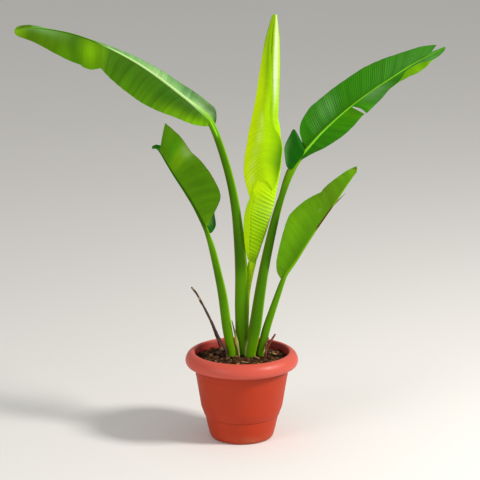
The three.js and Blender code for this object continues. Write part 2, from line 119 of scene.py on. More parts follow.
blade(
    "leaf_left_tall", "near_half", tones={0: "moss", 0.1: "olive"},
    # The bluish bloom on its other side is wax with a painted sheen.
    behind={0: "green", 0.5: "bloom_and_sheen", 1: "green"},
    spots=[
        (0.12, 1, 0.2, 0.32, "fresh", 0.95), (0.3, 0.95, 0.12, 0.25, "fresh", 0.6),
        (0.62, 1, 0.3, 0.35, "moss", 0.4), (1, 0.6, 0.05, 0.9, "fresh", 0.6),
        (0.42, 0.35, 0.12, 0.3, "deep", 0.3),
    ], belly=6, streak=0.15, edge="moss",
    rows=[
        (6, -74, -9, 716), (6.35, -95, -17, 719), (6.8, -121, -24, 728), (7.4, -146, -30, 740),
        (8.2, -182, -36, 755), (8.8, -218, -40, 774), (9.4, -244, -42, 793), (9.95, -271, -43, 815),
        (10.6, -292, -44, 835), (11.15, -306, -44, 851),
    ],
)
blade(
    "leaf_left_tall", "near_half_beyond_tear",
    tones={0: "sage", 0.3: "olive", 0.45: "sage", 0.85: "sage", 1: "fresh"},
    # The bluish bloom on its back and near its tip is wax with a painted sheen.
    behind={0: "green", 1: "bloom_and_sheen"},
    spots=[
        (0.13, 0.5, 0.12, 0.6, "fresh", 0.95), (0.07, 1, 0.07, 0.25, "moss", 0.7),
        (0.7, 0.12, 0.24, 0.3, "bloom_and_sheen", 0.5), (0.4, 0.9, 0.14, 0.3, "moss", 0.5),
        (1, 0.6, 0.08, 0.6, "sap", 0.5),
    ], belly=5, ridge=0, streak=0.06, edge="moss",
    rows=[
        (11.15, -304, -52, 853), (11.3, -315, -53, 851), (11.45, -328, -53, 850),
        (11.6, -344, -52, 855), (11.7, -350, -50, 860), (11.9, -366, -48, 865), (12.35, -396, -46, 879),
        (12.85, -430, -43, 897), (13.35, -451, -40, 908), (13.9, -471, -37, 915),
        (14.45, -484, -34, 919), (14.9, -492, -32, 925),
    ],
)
blade(
    "leaf_left_tall", "far_half",
    # The bluish bloom and the pale spots on the far half are partly wax and partly a painted reflection
    # of the sky.
    tones={0: "deep", 0.03: "bloom_and_sheen", 0.88: "bloom_and_sheen", 0.93: "sage", 0.97: "sage", 1: "fresh"},
    spots=[
        (0.02, 0.9, 0.026, 0.6, "olive", 1), (0.1, 0.5, 0.06, 0.6, "pale", 0.35),
        (0.36, 0.5, 0.08, 0.5, "pale", 0.4),
    ], belly=-8, streak=0.12, edge="sage",
    rows=[
        (6, -59, 8, 717), (6.25, -56, 30, 727), (6.6, -59, 50, 744), (7.1, -76, 62, 758),
        (7.7, -103, 66, 778), (8.4, -141, 66, 803), (9, -172, 64, 824), (9.6, -205, 61, 844),
        (10.2, -241, 57, 863), (11, -293, 49, 886), (11.6, -335, 41, 902), (12.2, -375, 31, 915),
        (12.8, -413, 19, 926), (13.4, -447, 3, 937), (14, -471, -12, 941), (14.5, -487, -22, 939),
        (14.9, -493, -28, 933),
    ],
)

stalk(
    "leaf_right_tall", channel_side=math.pi + 0.55,
    tones={
        0: "fresh", 0.12: "stem", 0.45: "stem", 0.55: "fresh", 0.6: "mint", 0.88: "mint", 1: "grass",
    },
    strips=[
        (-0.15, 0.2, 188, 262, "brown"), (-2.9, 0.3, 188, 232, "pale"), (0, 1.1, 640, 800, "green"),
        (math.pi, 1.1, 640, 800, "green"),
    ],
    line=[
        (19, -11, 199, 12.5), (30, -10, 260, 14), (40, -8, 331, 12.4), (52, -6, 404, 10.8),
        (72, -3, 498, 9), (89, 0, 558, 7.1), (108, 2, 612, 9.2), (137, 5, 653, 5.2), (176, 8, 698, 3.8),
        (220, 12, 739, 3.3), (268, 17, 777, 2.9), (324, 22, 814, 2.5), (362, 26, 839, 2.1),
        (395, 29, 858, 1.7), (424, 31, 872, 1.3), (448, 33, 885, 1),
    ],
)
blade(
    # The bluish spot on the lobe's edge is a painted sheen.
    "leaf_right_tall", "torn_lobe", tones="deep", spots=[(0.4, 0.97, 0.25, 0.1, "bloom_and_sheen", 0.6)],
    streak=0.12, edge="deep",
    rows=[
        (6, 109.5, -6, 620, 104, -6, 619.5), (6.12, 113.5, -5.5, 624, 98.5, -4, 626),
        (6.35, 118, -4, 631.5, 95.5, 3, 641), (6.55, 123, -3, 640, 94.5, 14, 665),
        (6.7, 128.5, -2, 647, 105.5, 22, 688.5), (6.8, 133, -1, 652, 115.5, 25, 703),
        (6.92, 136, 0, 656, 128.5, 20, 683), (7.02, 138.5, 2, 659, 139.5, 11, 664),
    ],
)
blade(
    "leaf_right_tall", "upper_half", tones="green",
    # The bluish spots are wax with a painted sheen.
    spots=[
        (0.31, 0.6, 0.07, 0.35, "bloom_and_sheen", 0.42), (0.2, 0.4, 0.03, 0.3, "bloom_and_sheen", 0.2),
        (0.9, 0.5, 0.25, 0.6, "bloom_and_sheen", 0.16),
    ], belly=-5, pitch=0.005, height=0.24, ridge=0.2, streak=0.1, edge="deep",
    rows=[
        (7.06, 139, 6, 664), (7.15, 133, 18, 680), (7.35, 128, 30, 698), (7.6, 133, 39, 720),
        (8, 150, 47, 746), (8.5, 173, 52, 766), (9, 203, 55, 790), (9.5, 233, 57, 811),
        (10, 269, 58, 835), (10.6, 308, 58, 853), (11.2, 349, 56, 868), (11.9, 391, 52, 882),
        (12.5, 416, 48, 887), (12.95, 429, 45, 888),
    ],
)
blade(
    # The bluish spot on the tip is wax with a painted sheen.
    "leaf_right_tall", "upper_tip", tones="green", spots=[(0.5, 0.6, 0.4, 0.5, "bloom_and_sheen", 0.4)],
    edge="deep",
    rows=[(12.98, 404, 31, 867), (13.5, 418, 33, 875), (14.2, 436, 34, 882), (14.9, 447, 34, 886)],
)
blade(
    "leaf_right_tall", "lower_half", tones={0.5: "green", 0.75: "grass"},
    spots=[(0.95, 0.5, 0.1, 0.5, "fresh", 0.3)], ridge=0.07, streak=0.16, edge="olive",
    rows=[
        (6.75, 130, 0, 638), (7.15, 156, -8, 655), (7.55, 185, -16, 671), (8, 220, -22, 696),
        (8.5, 245, -24, 720), (9, 261, -22, 739), (9.43, 269, -18, 745.5),
    ],
)
blade(
    "leaf_right_tall", "lower_half_beyond_tear", tones={0.6: "grass", 0.7: "green"},
    behind={0: "grass", 0.45: "moss", 0.7: "moss", 0.85: "fresh", 1: "moss"},
    behind_spots=[(0.62, 0.8, 0.1, 0.3, "fresh", 0.6)],
    # The bluish spots are wax with a painted sheen.
    spots=[
        (0.25, 0.6, 0.12, 0.4, "bloom_and_sheen", 0.35), (0.3, 0.1, 0.12, 0.25, "bloom_and_sheen", 0.85),
        (0.78, 0.4, 0.16, 0.5, "bloom_and_sheen", 0.45),
    ], ridge=0.07, streak=0.12, edge="olive",
    rows=[
        (9.47, 260, -13, 756.5, 273, -24, 748), (9.9, 294, -20, 772.5, 300, -24, 775.5),
        (10.4, 317, -16, 798, 323, -21, 801), (10.75, 339, -12, 813, 344, -18, 819),
        (11.2, 364, -10, 826, 359, -6, 838), (11.7, 382, -8, 834, 375, 0, 848),
        (12.4, 399, 0, 843, 393, 8, 855), (13, 414, 10, 857, 412, 8, 859),
        (13.6, 427, 20, 865, 428, 18, 865), (14.3, 438, 27, 872, 439, 26, 872),
        (14.9, 447, 32, 882, 448, 31, 882),
    ],
)

stalk(
    "leaf_left_low", channel_side=-0.55,
    tones={0: "fresh", 0.2: "moss", 0.4: "stem", 0.55: "moss", 0.62: "olive", 1: "deep"},
    line=[
        (-22, -5, 194, 10.5), (-33, -5, 256, 11), (-43, -4, 330, 10), (-53, -2, 380, 8.6),
        (-65, -1, 433, 7.4), (-73, 0, 460, 5.9), (-82, 0, 485, 4.8), (-105, 0, 532, 3.4),
        (-127, 0, 569, 2.9), (-147, 0, 600, 2.5), (-165, 0, 630, 2.1), (-179, 1, 654, 1.6),
        (-188, 4, 663.5, 1.2), (-199, 7, 666.5, 0.6),
    ],
)
blade(
    "leaf_left_low", "near_half", tones="moss", behind="green",
    spots=[
        (0.75, 0.55, 0.07, 0.5, "sap", 0.55), (0.73, 0.85, 0.05, 0.2, "pale", 0.3),
        (0.84, 0.55, 0.06, 0.4, "grass", 0.5), (0, 0.5, 0.08, 0.7, "fresh", 0.9),
        (0.95, 0.2, 0.12, 0.25, "olive", 0.3), (0.5, 0.5, 0.14, 0.3, "olive", 0.25),
    ], belly=5, streak=0.1, edge="brown",
    rows=[
        (5.85, -73, -6, 490), (6.15, -67, -14, 511), (6.5, -60, -20, 525), (6.8, -52, -25, 543),
        (7.1, -47, -28, 560), (7.5, -49, -30, 575), (7.9, -58, -31, 595), (8.4, -71, -31, 618),
        (8.9, -89, -30, 642), (9.3, -111, -29, 663), (9.7, -124, -28, 682), (10.1, -135, -27, 697),
        (10.6, -153, -25, 714), (11.2, -168, -23, 726),
    ],
)
blade(
    # The bluish spot at its base is a painted sheen.
    "leaf_left_low", "far_half", tones="deep", spots=[(0.12, 0.7, 0.04, 0.3, "bloom_and_sheen", 0.5)], belly=-5,
    edge="deep",
    rows=[
        (5.75, -64, 7, 475), (6, -58, 13, 487), (6.25, -60, 19, 506), (6.8, -63, 25, 532),
        (7.4, -63, 29, 556), (8, -76, 31, 579), (8.6, -94, 31, 606), (9.2, -118, 30, 631),
        (9.8, -138, 28, 654), (10.4, -158, 24, 668), (11, -172, 18, 667), (11.7, -182, 10, 670),
        (12.4, -190, 9, 671.5), (12.9, -198, 7.5, 668),
    ],
)

stalk(
    "leaf_right_low", channel_side=math.pi + 0.55,
    tones={
        0: "fresh", 0.15: "moss", 0.4: "moss", 0.5: "fresh", 0.68: "fresh", 0.7: "brown", 0.8: "brown",
        0.82: "fresh",
    }, strips=[(-3, 0.3, 188, 240, "brown"), (-0.4, 0.5, 188, 232, "straw")],
    line=[
        (43, -3, 199, 9), (54, -3, 248, 9.2), (67, -2, 290, 8), (80, -1, 329, 7), (91, 0, 361, 5.8),
        (99, 0, 379, 4.8), (119, 0, 407, 3.6), (141.5, 0, 444, 3.1), (165.5, 0, 482, 2.7),
        (184.5, 0, 510, 2.4), (205, 0, 540, 2.1), (232.5, 0, 583, 1.9), (248.5, 0, 607, 1.5),
        (255, 0, 619, 1),
    ],
)
blade(
    "leaf_right_low", "near_half",
    tones={0: "sage", 0.12: "moss", 0.56: "moss", 0.74: "sage", 0.92: "moss", 1: "fresh"},
    behind="green",
    spots=[
        (0.42, 0.7, 0.2, 0.3, "fresh", 0.5), (0.25, 0.1, 0.25, 0.2, "olive", 0.5),
        (0.62, 0.3, 0.01, 0.04, "pale", 0.2), (1, 0.5, 0.025, 1, "brown", 0.9),
    ], belly=5, ridge=0.02, streak=0.07, edge="moss",
    rows=[
        (4.5, 87, -5, 369), (4.85, 79, -12, 386), (5.2, 77, -19, 411), (5.7, 82, -25, 441),
        (6.3, 89, -28, 472), (6.9, 98, -30, 503), (7.3, 106, -31, 522), (7.8, 122, -31, 539),
        (8.3, 140, -30, 554), (8.9, 159, -29, 565), (9.4, 174, -28, 572), (9.65, 179, -27, 578.5),
        (10.1, 190, -25, 589), (10.8, 209, -20, 603), (11.5, 231, -13, 617), (12.3, 244, -7, 621.5),
        (12.9, 253, -3, 621.5),
    ],
)
blade(
    "leaf_right_low", "far_half", tones={0: "deep", 1: "olive"}, belly=-5, edge="brown",
    rows=[
        (4.55, 94, 5, 369), (5.2, 96, 16, 401), (6, 105, 26, 442), (7, 122, 32, 485), (8, 149, 34, 521),
        (8.8, 171, 36, 525), (9.4, 189, 36, 524), (9.9, 206, 35, 539), (10.3, 216, 32, 555),
        (10.9, 224, 22, 573), (11.6, 237, 12, 592), (12.3, 248, 6, 608), (12.9, 254, 2, 616),
    ],
)
blade(
    "leaf_right_low", "far_sliver", tones="brown", behind="brown", edge="brown",
    rows=[(9.5, 227.5, 5, 560), (10, 230, 5, 562.5)],
)

stalk(
    "leaf_centre_young", channel_side=-0.55, tones={0: "sap", 0.08: "lime", 0.38: "lime", 0.45: "sap"},
    line=[
        (8, 25, 189, 7.6), (8.5, 24, 265, 7.6), (12, 22, 336, 7.6), (23, 14, 400, 9.1),
        (33, 12, 421, 4.7), (49, 11, 471, 3.7), (64, 10, 526, 3.3), (74, 10, 577, 3),
        (79, 10, 635, 2.6), (77, 10, 703, 2.3), (75, 8, 771, 2), (74, 4, 838, 1.7), (74.5, 0, 905, 1.4),
        (73.5, -3, 964, 1),
    ],
)
blade(
    "leaf_centre_young", "inner_half", tones={0: "fresh", 0.06: "sap", 0.2: "sap", 0.3: "lime"},
    behind="lime",
    # The two pale wax spots paint the highlight along the rolled leaf, and the small crest spot is a
    # painted highlight as well.
    spots=[
        (0.1, 0.72, 0.25, 0.14, "lemon", 0.9), (0.24, 0.3, 0.05, 0.2, "glow", 0.25),
        (0.91, 0.6, 0.15, 0.11, "wax", 1), (0.75, 0.61, 0.09, 0.09, "wax", 1),
        (0.8, 0.36, 0.3, 0.12, "sap", 0.8), (0.63, 0.92, 0.1, 0.2, "sap", 0.9),
        (0.61, 0.55, 0.06, 0.12, "sap", 0.8), (0.14, 0.1, 0.14, 0.12, "fresh", 0.4),
    ], pitch=0.0085, height={0.3: 0.55, 0.38: 0.05}, ridge={0.3: 0.16, 0.38: 0.02}, calm=(0.48, 0.62),
    wave=0, streak=0.03, edge="lemon",
    rows=[
        (3.55, 29, 2, 404, 14, 7, 410, 17, 4, 418), (3.95, 34, -1, 421, 9, 0, 433, 16, -6, 443),
        (4.4, 41, -3, 446, 6, -4, 463, 17, -11, 477), (4.95, 49, -3, 471, 5, -6, 494, 17, -13, 511),
        (5.5, 57, -4, 500, 10, -6, 523, 19, -12, 536), (6.05, 65, -6, 528, 18.5, -5, 548, 27, -11, 561),
        (6.75, 74, -7, 567, 42, -13, 592, 24, -6, 597), (7.7, 87, -2, 636, 63, -14, 640, 46, -12, 636),
        (9, 84.5, -1, 705, 70, -13, 707, 50, -12, 703),
        (9.45, 79.5, -2, 735, 69, -13, 737, 51, -12, 734),
        (10, 81, -2, 772, 70, -12, 774, 54, -11, 773), (11, 83, -3, 839, 71, -11, 840, 58, -9, 837),
        (12, 82, -3, 905, 73, -9, 906, 64, -7, 903), (12.9, 76, -4, 961, 74.5, -7, 963, 70, -6, 962),
    ],
)
blade(
    "leaf_centre_young", "outer_half", tones="lime", behind="lime",
    spots=[
        (0.25, 0.54, 0.35, 0.1, "lemon", 0.95), (0.62, 0.52, 0.2, 0.08, "lemon", 0.85),
        (0.75, 0.85, 0.28, 0.14, "fresh", 0.9), (0.85, 0.97, 0.16, 0.05, "moss", 0.6),
        (0.94, 0.56, 0.12, 0.055, "olive", 0.9), (0.3, 0.9, 0.16, 0.09, "sap", 0.9),
        (0.56, 0.66, 0.16, 0.08, "lemon", 0.5), (0.14, 1, 0.08, 0.16, "moss", 0.8),
        (0.2, 1, 0.14, 0.08, "moss", 1), (0.16, 1.02, 0.1, 0.06, "olive", 0.6),
        # The five small spots along the fold are painted highlights on the crests of the pleats.
        (0.48, 1, 0.12, 0.07, "fresh", 0.85), (0.38, 0.735, 0.045, 0.03, "glow", 0.8),
        (0.29, 0.71, 0.035, 0.03, "glow", 0.8), (0.21, 0.68, 0.03, 0.022, "glow", 0.7),
        (0.14, 0.64, 0.03, 0.025, "glow", 0.7), (0.07, 0.6, 0.03, 0.03, "glow", 0.7),
    ], pitch=0.008, height={0: 0.14, 0.45: 0.06, 0.6: 0.02}, ridge={0: 0.06, 0.4: 0.05, 0.55: 0.02},
    calm=(0.68, 0.85), wave=0, streak=0.02, edge="lime",
    rows=[
        (6.5, 46, 14, 551, 19, 2, 549, 47, -15, 596, 71, -12, 573),
        (6.8, 37, 17, 568, 12, 2, 574, 46, -17, 619, 80, -12, 599),
        (7.3, 35, 20, 597, 5, 2, 606, 43, -19, 646, 87, -12, 633),
        (7.9, 35, 21, 633, 6, 2, 642, 45, -20, 673, 90, -12, 665),
        (8.4, 39, 21, 663, 11, 2, 675, 46, -20, 700, 86, -13, 690),
        (8.8, 41, 20, 688, 15, 2, 702, 45, -20, 725, 72, -17, 715),
        (9.2, 43, 20, 715, 21, 2, 729, 46, -19, 751, 66, -17, 742),
        (10, 50, 17, 767, 31, 1, 781, 51, -17, 797, 67, -16, 788),
        (11, 55, 13, 834, 40, 0, 843, 54, -14, 854, 65, -14, 850),
        (12, 62, 8, 901, 51, -1, 905, 58, -10, 911, 65, -11, 911),
        (12.9, 69, 2, 959, 65.5, -1, 959.5, 68, -6, 962.5, 72, -8, 963.5),
    ],
)

# The strands of the dry remains: x, y, z and half width.
DRY_STRANDS = {
    "dry_stalk": [
        [
            (-35, -14, 205, 4), (-49, -12, 229, 3.6), (-64, -10, 262, 3.4), (-83, -8, 301, 3.2),
            (-100, -6, 333, 2.8), (-112, -5, 349, 2.2),
        ],
        [(-43, -9, 198, 2.2), (-58, -9, 238, 2), (-72, -9.4, 277, 1.6)],
    ],
    "dry_stub": [
        [(52, -15, 197, 3.4), (61, -14, 219, 3.2), (75, -12, 242, 2.4)],
        [(54, -16, 197, 2.6), (55, -16, 217, 2.4), (60, -15, 235, 1.8)],
    ],
    "dry_sheath": [
        [(-6, -9, 196, 4.6), (-12, -9, 231, 3.6), (-22, -10, 273, 1.4)],
    ],
}
DRY_FLATNESS = {"dry_stalk": 0.8, "dry_stub": 0.8, "dry_sheath": 0.3}

STALK_FLATNESS = 0.65  # depth of a stalk from front to back, as a share of its width
STALK_SIDES = 44
STALK_STEPS = 6  # rows of a stalk from one point of its line to the next
CHANNEL_WIDTH = 0.42  # of the groove along a stalk, as half its angle
STRAND_SIDES = 16
STRAND_STEPS = 14
STRAND_CHANNEL = (0.35, 1.2)  # depth and width of the hollow side of a strand
ROOT_BOTTOM = 150  # height at which every stem ends in the soil
BLADE_COLUMNS = 11  # fewest points across a blade, less those that its rows add
ROW_SAMPLES = 24  # points from row to row in measuring a blade
FEWEST_STEPS = 24  # rows of the shortest blade
PITCH_PLACE = 0.6  # share of the way to the margin where the pleats are spaced
BROAD_WAVE = 15  # from one broad wave of a blade to the next
PLEAT_POINTS = 6
MARGIN_WANDER = 0.35  # how far a blade's margin strays
MARGIN_THINNING = 0.45  # how much thinner a blade is at its margin

# Outside of the pot's wall, from the foot up to the neck, as radius and height.
POT_OUTSIDE = [
    (63, 0), (68.6, 1.8), (72.2, 7), (76.8, 25), (82.2, 50), (81.4, 52.6), (84.4, 54), (88.4, 63),
    (91.8, 74), (94.6, 91), (97.2, 107), (99.4, 121), (101.9, 136.5), (103.6, 147), (105.2, 158),
    (106, 163),
]
FOOT_CORNERS = 8  # as many of them as are rounded with the foot
RING_HEIGHTS = (158, 147)
RING_WIDTH = 1.1
ROLL_POINTS = 43  # round the rolled rim
NECK = [(105.9, 162.4), (106.6, 164.4)]
ROLL_HOLLOW = [(108.8, 165), (108.8, 194), (114, 195.5), (122, 184), (122, 176), (117.5, 171)]
RIM_ROLL = [
    (117.5, 168.2), (123.6, 170.6), (127, 178.4), (125.6, 187), (121.2, 194.5), (114.4, 199.5),
    (109, 200.5), (105.4, 197),
]
POT_UNDERSIDE = [(0, 0), (14, 0), (16, 3), (56, 3), (58, 0)]
POT_WALL = 2.6
POT_FLOOR = 6
FIT_GAP = 0.3  # between the soil and the wall
SOIL_EDGE_HEIGHT = 182
SOIL_CROWN = 8  # how much higher its middle is
SOIL_RIPPLE = 1.6
SOIL_CLOD = 0.9  # how high its clods stand
SOIL_SIDES = 144
SOIL_RINGS = 56

# The stage, in metres and degrees.
FLOOR_REACH = 30
CAMERA_PLACE = (-0.0040, -5.1922, 1.7225)
CAMERA_DOWNWARD = 13.7


# ---------- what a user would change ----------


def number(name, description, default, **limits):
    return bpy.props.FloatProperty(name=name, description=description, default=default, min=0, **limits)


def length(name, description, default):
    return number(name, description, default, subtype="DISTANCE", unit="LENGTH")


def share(name, description, default):
    return number(name, description, default, max=1, subtype="FACTOR")


def tint(name, description, default):
    return bpy.props.FloatVectorProperty(
        name=name, description=description, default=default, min=0, max=1, size=3, subtype="COLOR"
    )


def paint(name, description, *screen_colour):
    return tint(name, description, screen(*screen_colour))


def count(name, description, default):
    return bpy.props.IntProperty(name=name, description=description, default=default, min=1)


class PotSettings(bpy.types.PropertyGroup):
    """The nursery pot"""

    sides: count("Sides", "Flats round the turned body", 160)
    ring_height: length("Ring height", "How far the moulded rings stand out", 0.0005)
    body: paint("Body", "Colour of the wall", 176, 48, 4)
    rim: paint("Rim", "Colour of the rolled rim", 200, 82, 66)
    # Inside: darker than the body, a painted shade on the inner wall.
    inside: paint("Inside", "Colour of the inner wall", 148, 28, 10)
    roughness: share("Roughness", "How matt the wall is", 0.5)


class SoilSettings(bpy.types.PropertyGroup):
    """The potting mix"""

    seed: count("Seed", "Places the bark and crumbs", 4)
    bark_per_area: number("Bark", "Flakes on a square metre", 12000)
    crumbs_per_area: number("Crumbs", "Crumbs on a square metre", 42000)
    bark_length: length("Bark length", "Length of the longest flakes", 0.021)
    crumb_size: length("Crumb size", "Width of the largest crumbs", 0.0042)
    dark: paint("Peat", "Colour of the damp mix", 24, 14, 6)
    bark: paint("Bark colour", "Colour of the middling flakes", 86, 54, 28)
    pale: paint("Pale flakes", "Colour of the dry flakes", 160, 120, 76)


class LeafSettings(bpy.types.PropertyGroup):
    """The five leaves"""

    seed: count("Seed", "Varies the pleats and margins", 7)
    thickness: length("Thickness", "Of the blade near the midrib", 0.0008)
    pleat_pitch: length("Pleat pitch", "From one fine pleat to the next", 0.0055)
    pleat_height: length("Pleat height", "Of the fine pleats", 0.00011)
    wave_height: length("Wave height", "Of the broad waves along a blade", 0.0008)
    channel: share("Channel", "Depth of the groove along a stalk", 0.14)
    gloss: share("Gloss", "How much light the wax throws back", 0.07)
    green: paint("Green", "Upper side of a grown leaf", 50, 124, 8)
    olive: paint("Olive", "Under side in shade", 54, 98, 2)
    moss: paint("Moss", "Under side with some light through it", 82, 136, 2)
    sage: paint("Sage", "Under side in half light", 74, 114, 2)
    grass: paint("Grass", "Upper side with light through it", 64, 148, 4)
    # Sap also paints the light on the right side of the grown stalks.
    sap: paint("Sap", "Folds of the young leaf", 140, 192, 2)
    mint: paint("Mint", "Midribs of the old leaves", 128, 210, 44)
    stem: paint("Stem", "Skin of a grown stalk", 66, 116, 2)
    fresh: paint("Fresh", "Where light comes through", 106, 158, 2)
    deep: paint("Deep", "Folded and shaded parts", 20, 90, 4)
    # Bloom: bluish wax together with a painted sheen, the sky's reflection painted on faces that turn
    # up.
    bloom_and_sheen: paint("Bloom", "Bluish wax on the upper side", 112, 166, 96)
    lime: paint("Lime", "The young rolled leaf", 176, 222, 4)
    lemon: paint("Lemon", "The young leaf's thin edge", 220, 250, 2)
    # Pale: worn and waxy parts, and also a painted highlight on the midrib and a painted sheen on the
    # far half of the tall left leaf.
    pale: paint("Pale", "Worn and waxy parts", 186, 218, 146)
    # Bronze: painted shade on the left side of the grown stalks.
    painted_stalk_shade: paint("Bronze", "Weathered side of a stalk", 104, 104, 8)
    # Wax: a painted highlight, the shine along the rolled young leaf.
    wax: paint("Wax", "The shine along the young leaf", 208, 228, 190)
    # Glow: painted highlights on the crests of the young leaf's folds.
    glow: paint("Glow", "Crests of the young leaf's folds", 214, 246, 96)
    straw: paint("Straw", "Papery margins of the sheaths", 206, 190, 138)
    brown: paint("Brown", "Dried margins", 84, 58, 22)


class DrySettings(bpy.types.PropertyGroup):
    """The dry remains of old leaves"""

    seed: count("Seed", "Varies the shrivelled strands", 3)
    shrivel: share("Shrivel", "How uneven the strands are", 0.14)
    dark: paint("Dark", "Colour of the weathered skin", 62, 36, 22)
    red: paint("Red", "Colour of the stub", 116, 50, 26)
    husk: paint("Husk", "Colour of the old sheath", 190, 184, 104)
    tan: paint("Tan", "Colour of bare fibre", 184, 152, 108)


class StageSettings(bpy.types.PropertyGroup):
    """Floor, lights and camera"""

    floor: tint("Floor", "Colour of the floor", (0.82, 0.81, 0.79))
    sky: tint("Surroundings", "Colour of the light all round", (1.0, 0.985, 0.955))
    sky_strength: share("Surroundings strength", "How bright they are", 0.46)
    key_power: number("Key light", "Power of the large lamp", 130, unit="POWER")
    fill_power: number("Fill light", "Power of the soft lamp", 32, unit="POWER")


# ---------- curves ----------


def smooth_line(points, places):
    """A Catmull-Rom curve through points, read at places counted in points."""
    points = np.asarray(points, float)
    last = len(points) - 1
    before = 2 * points[:1] - points[1:2]
    after = 2 * points[-1:] - points[-2:-1]
    held = np.concatenate([before, points, after])
    places = np.clip(places, 0, last)
    start = np.minimum(places.astype(int), last - 1)
    t = (places - start).reshape((-1,) + (1,) * (points.ndim - 1))
    a, b, c, d = (held[start + step] for step in range(4))
    cubic = (3 * b - a - 3 * c + d) * t + 2 * a - 5 * b + 4 * c - d
    return 0.5 * (2 * b + (c - a + cubic * t) * t)


def straight_line(values, places):
    """The same with straight runs between the values."""
    return np.interp(places, np.arange(len(values)), values)


def run_length(points):
    """How far along a line each of its points lies."""
    steps = np.linalg.norm(np.diff(points, axis=0), axis=1)
    return np.concatenate([[0], np.cumsum(steps)])


def ease(value, low, high):
    """0 below low, 1 above high and a smooth step between."""
    t = np.clip((value - low) / (high - low), 0, 1)
    return t * t * (3 - 2 * t)


def unit(vectors):
    return vectors / np.maximum(np.linalg.norm(vectors, axis=-1, keepdims=True), 1e-12)


def wander(places, pitch, random):
    """Smooth random values from -1 to 1 that change over about pitch."""
    knots = random.uniform(-1, 1, int(np.ptp(places) / pitch) + 4)
    return smooth_line(knots, (places - places.min()) / pitch + 1)


def along_piece(stops, part):
    """Numbers held at shares of a piece, or one number for all of it, read at part."""
    stops = stops if isinstance(stops, dict) else {0: stops}
    return np.interp(part, list(stops), list(stops.values()))


def tones_along(tones, palette, part):
    """The same for colours, by name."""
    tones = {0: tones} if isinstance(tones, str) else tones
    bands = np.array([palette[label] for label in tones.values()]).T
    return np.stack([np.interp(part, list(tones), band) for band in bands], -1)


# ---------- node trees ----------


class Field:
    """A value in a node tree, which can be reckoned with."""

    def __init__(self, nodes, socket):
        self.nodes, self.socket = nodes, socket

    def maths(self, operation, *values):
        inputs = dict(enumerate((self, *values)))
        return self.nodes.out("ShaderNodeMath", inputs, operation=operation)

    def vector(self, operation, other):
        return self.nodes.out("ShaderNodeVectorMath", {0: self, 1: other}, operation=operation)

    def __add__(self, other):
        return self.maths("ADD", other)

    def __sub__(self, other):
        return self.maths("SUBTRACT", other)

    def __rsub__(self, other):
        return self.nodes.out("ShaderNodeMath", {0: other, 1: self}, operation="SUBTRACT")

    def __mul__(self, other):
        return self.maths("MULTIPLY", other)

    def scaled(self, amount):
        return self.vector("MULTIPLY", amount)

    def parts(self):
        node = self.nodes.add("ShaderNodeSeparateXYZ", {0: self})
        return [Field(self.nodes, socket) for socket in node.outputs]

    def swing(self, reach):
        """A 0 to 1 pattern as a small swing about 1."""
        return self.maths("MULTIPLY_ADD", 2 * reach, 1 - reach)

    def between(self, low, high, to_low=0.0, to_high=1.0):
        """A smooth step from to_low at low to to_high at high."""
        inputs = {0: self, 1: low, 2: high, 3: to_low, 4: to_high}
        return self.nodes.out("ShaderNodeMapRange", inputs, interpolation_type="SMOOTHSTEP")

    def mixed(self, factor, colour):
        return self.nodes.mix(factor, self, colour)


class Nodes:
    """A node tree under construction."""

    def __init__(self, tree):
        self.tree = tree

    def feed(self, socket, value):
        if isinstance(value, Field):
            self.tree.links.new(value.socket, socket)
        else:
            socket.default_value = value

    def add(self, kind, inputs=None, **options):
        """A new node with its options set and its inputs fed, by name or number."""
        node = self.tree.nodes.new(kind)
        for option, value in options.items():
            setattr(node, option, value)
        for key, value in (inputs or {}).items():
            self.feed(node.inputs[key], value)
        return node

    def out(self, kind, inputs=None, output=0, **options):
        """One output of such a node."""
        return Field(self, self.add(kind, inputs, **options).outputs[output])

    def combine(self, x, y, z):
        return self.out("ShaderNodeCombineXYZ", {0: x, 1: y, 2: z})

    def mix(self, factor, *colours):
        first, second = (held if isinstance(held, Field) else (*held, 1.0) for held in colours)
        return self.out("ShaderNodeMix", {0: factor, 6: first, 7: second}, 2, data_type="RGBA")


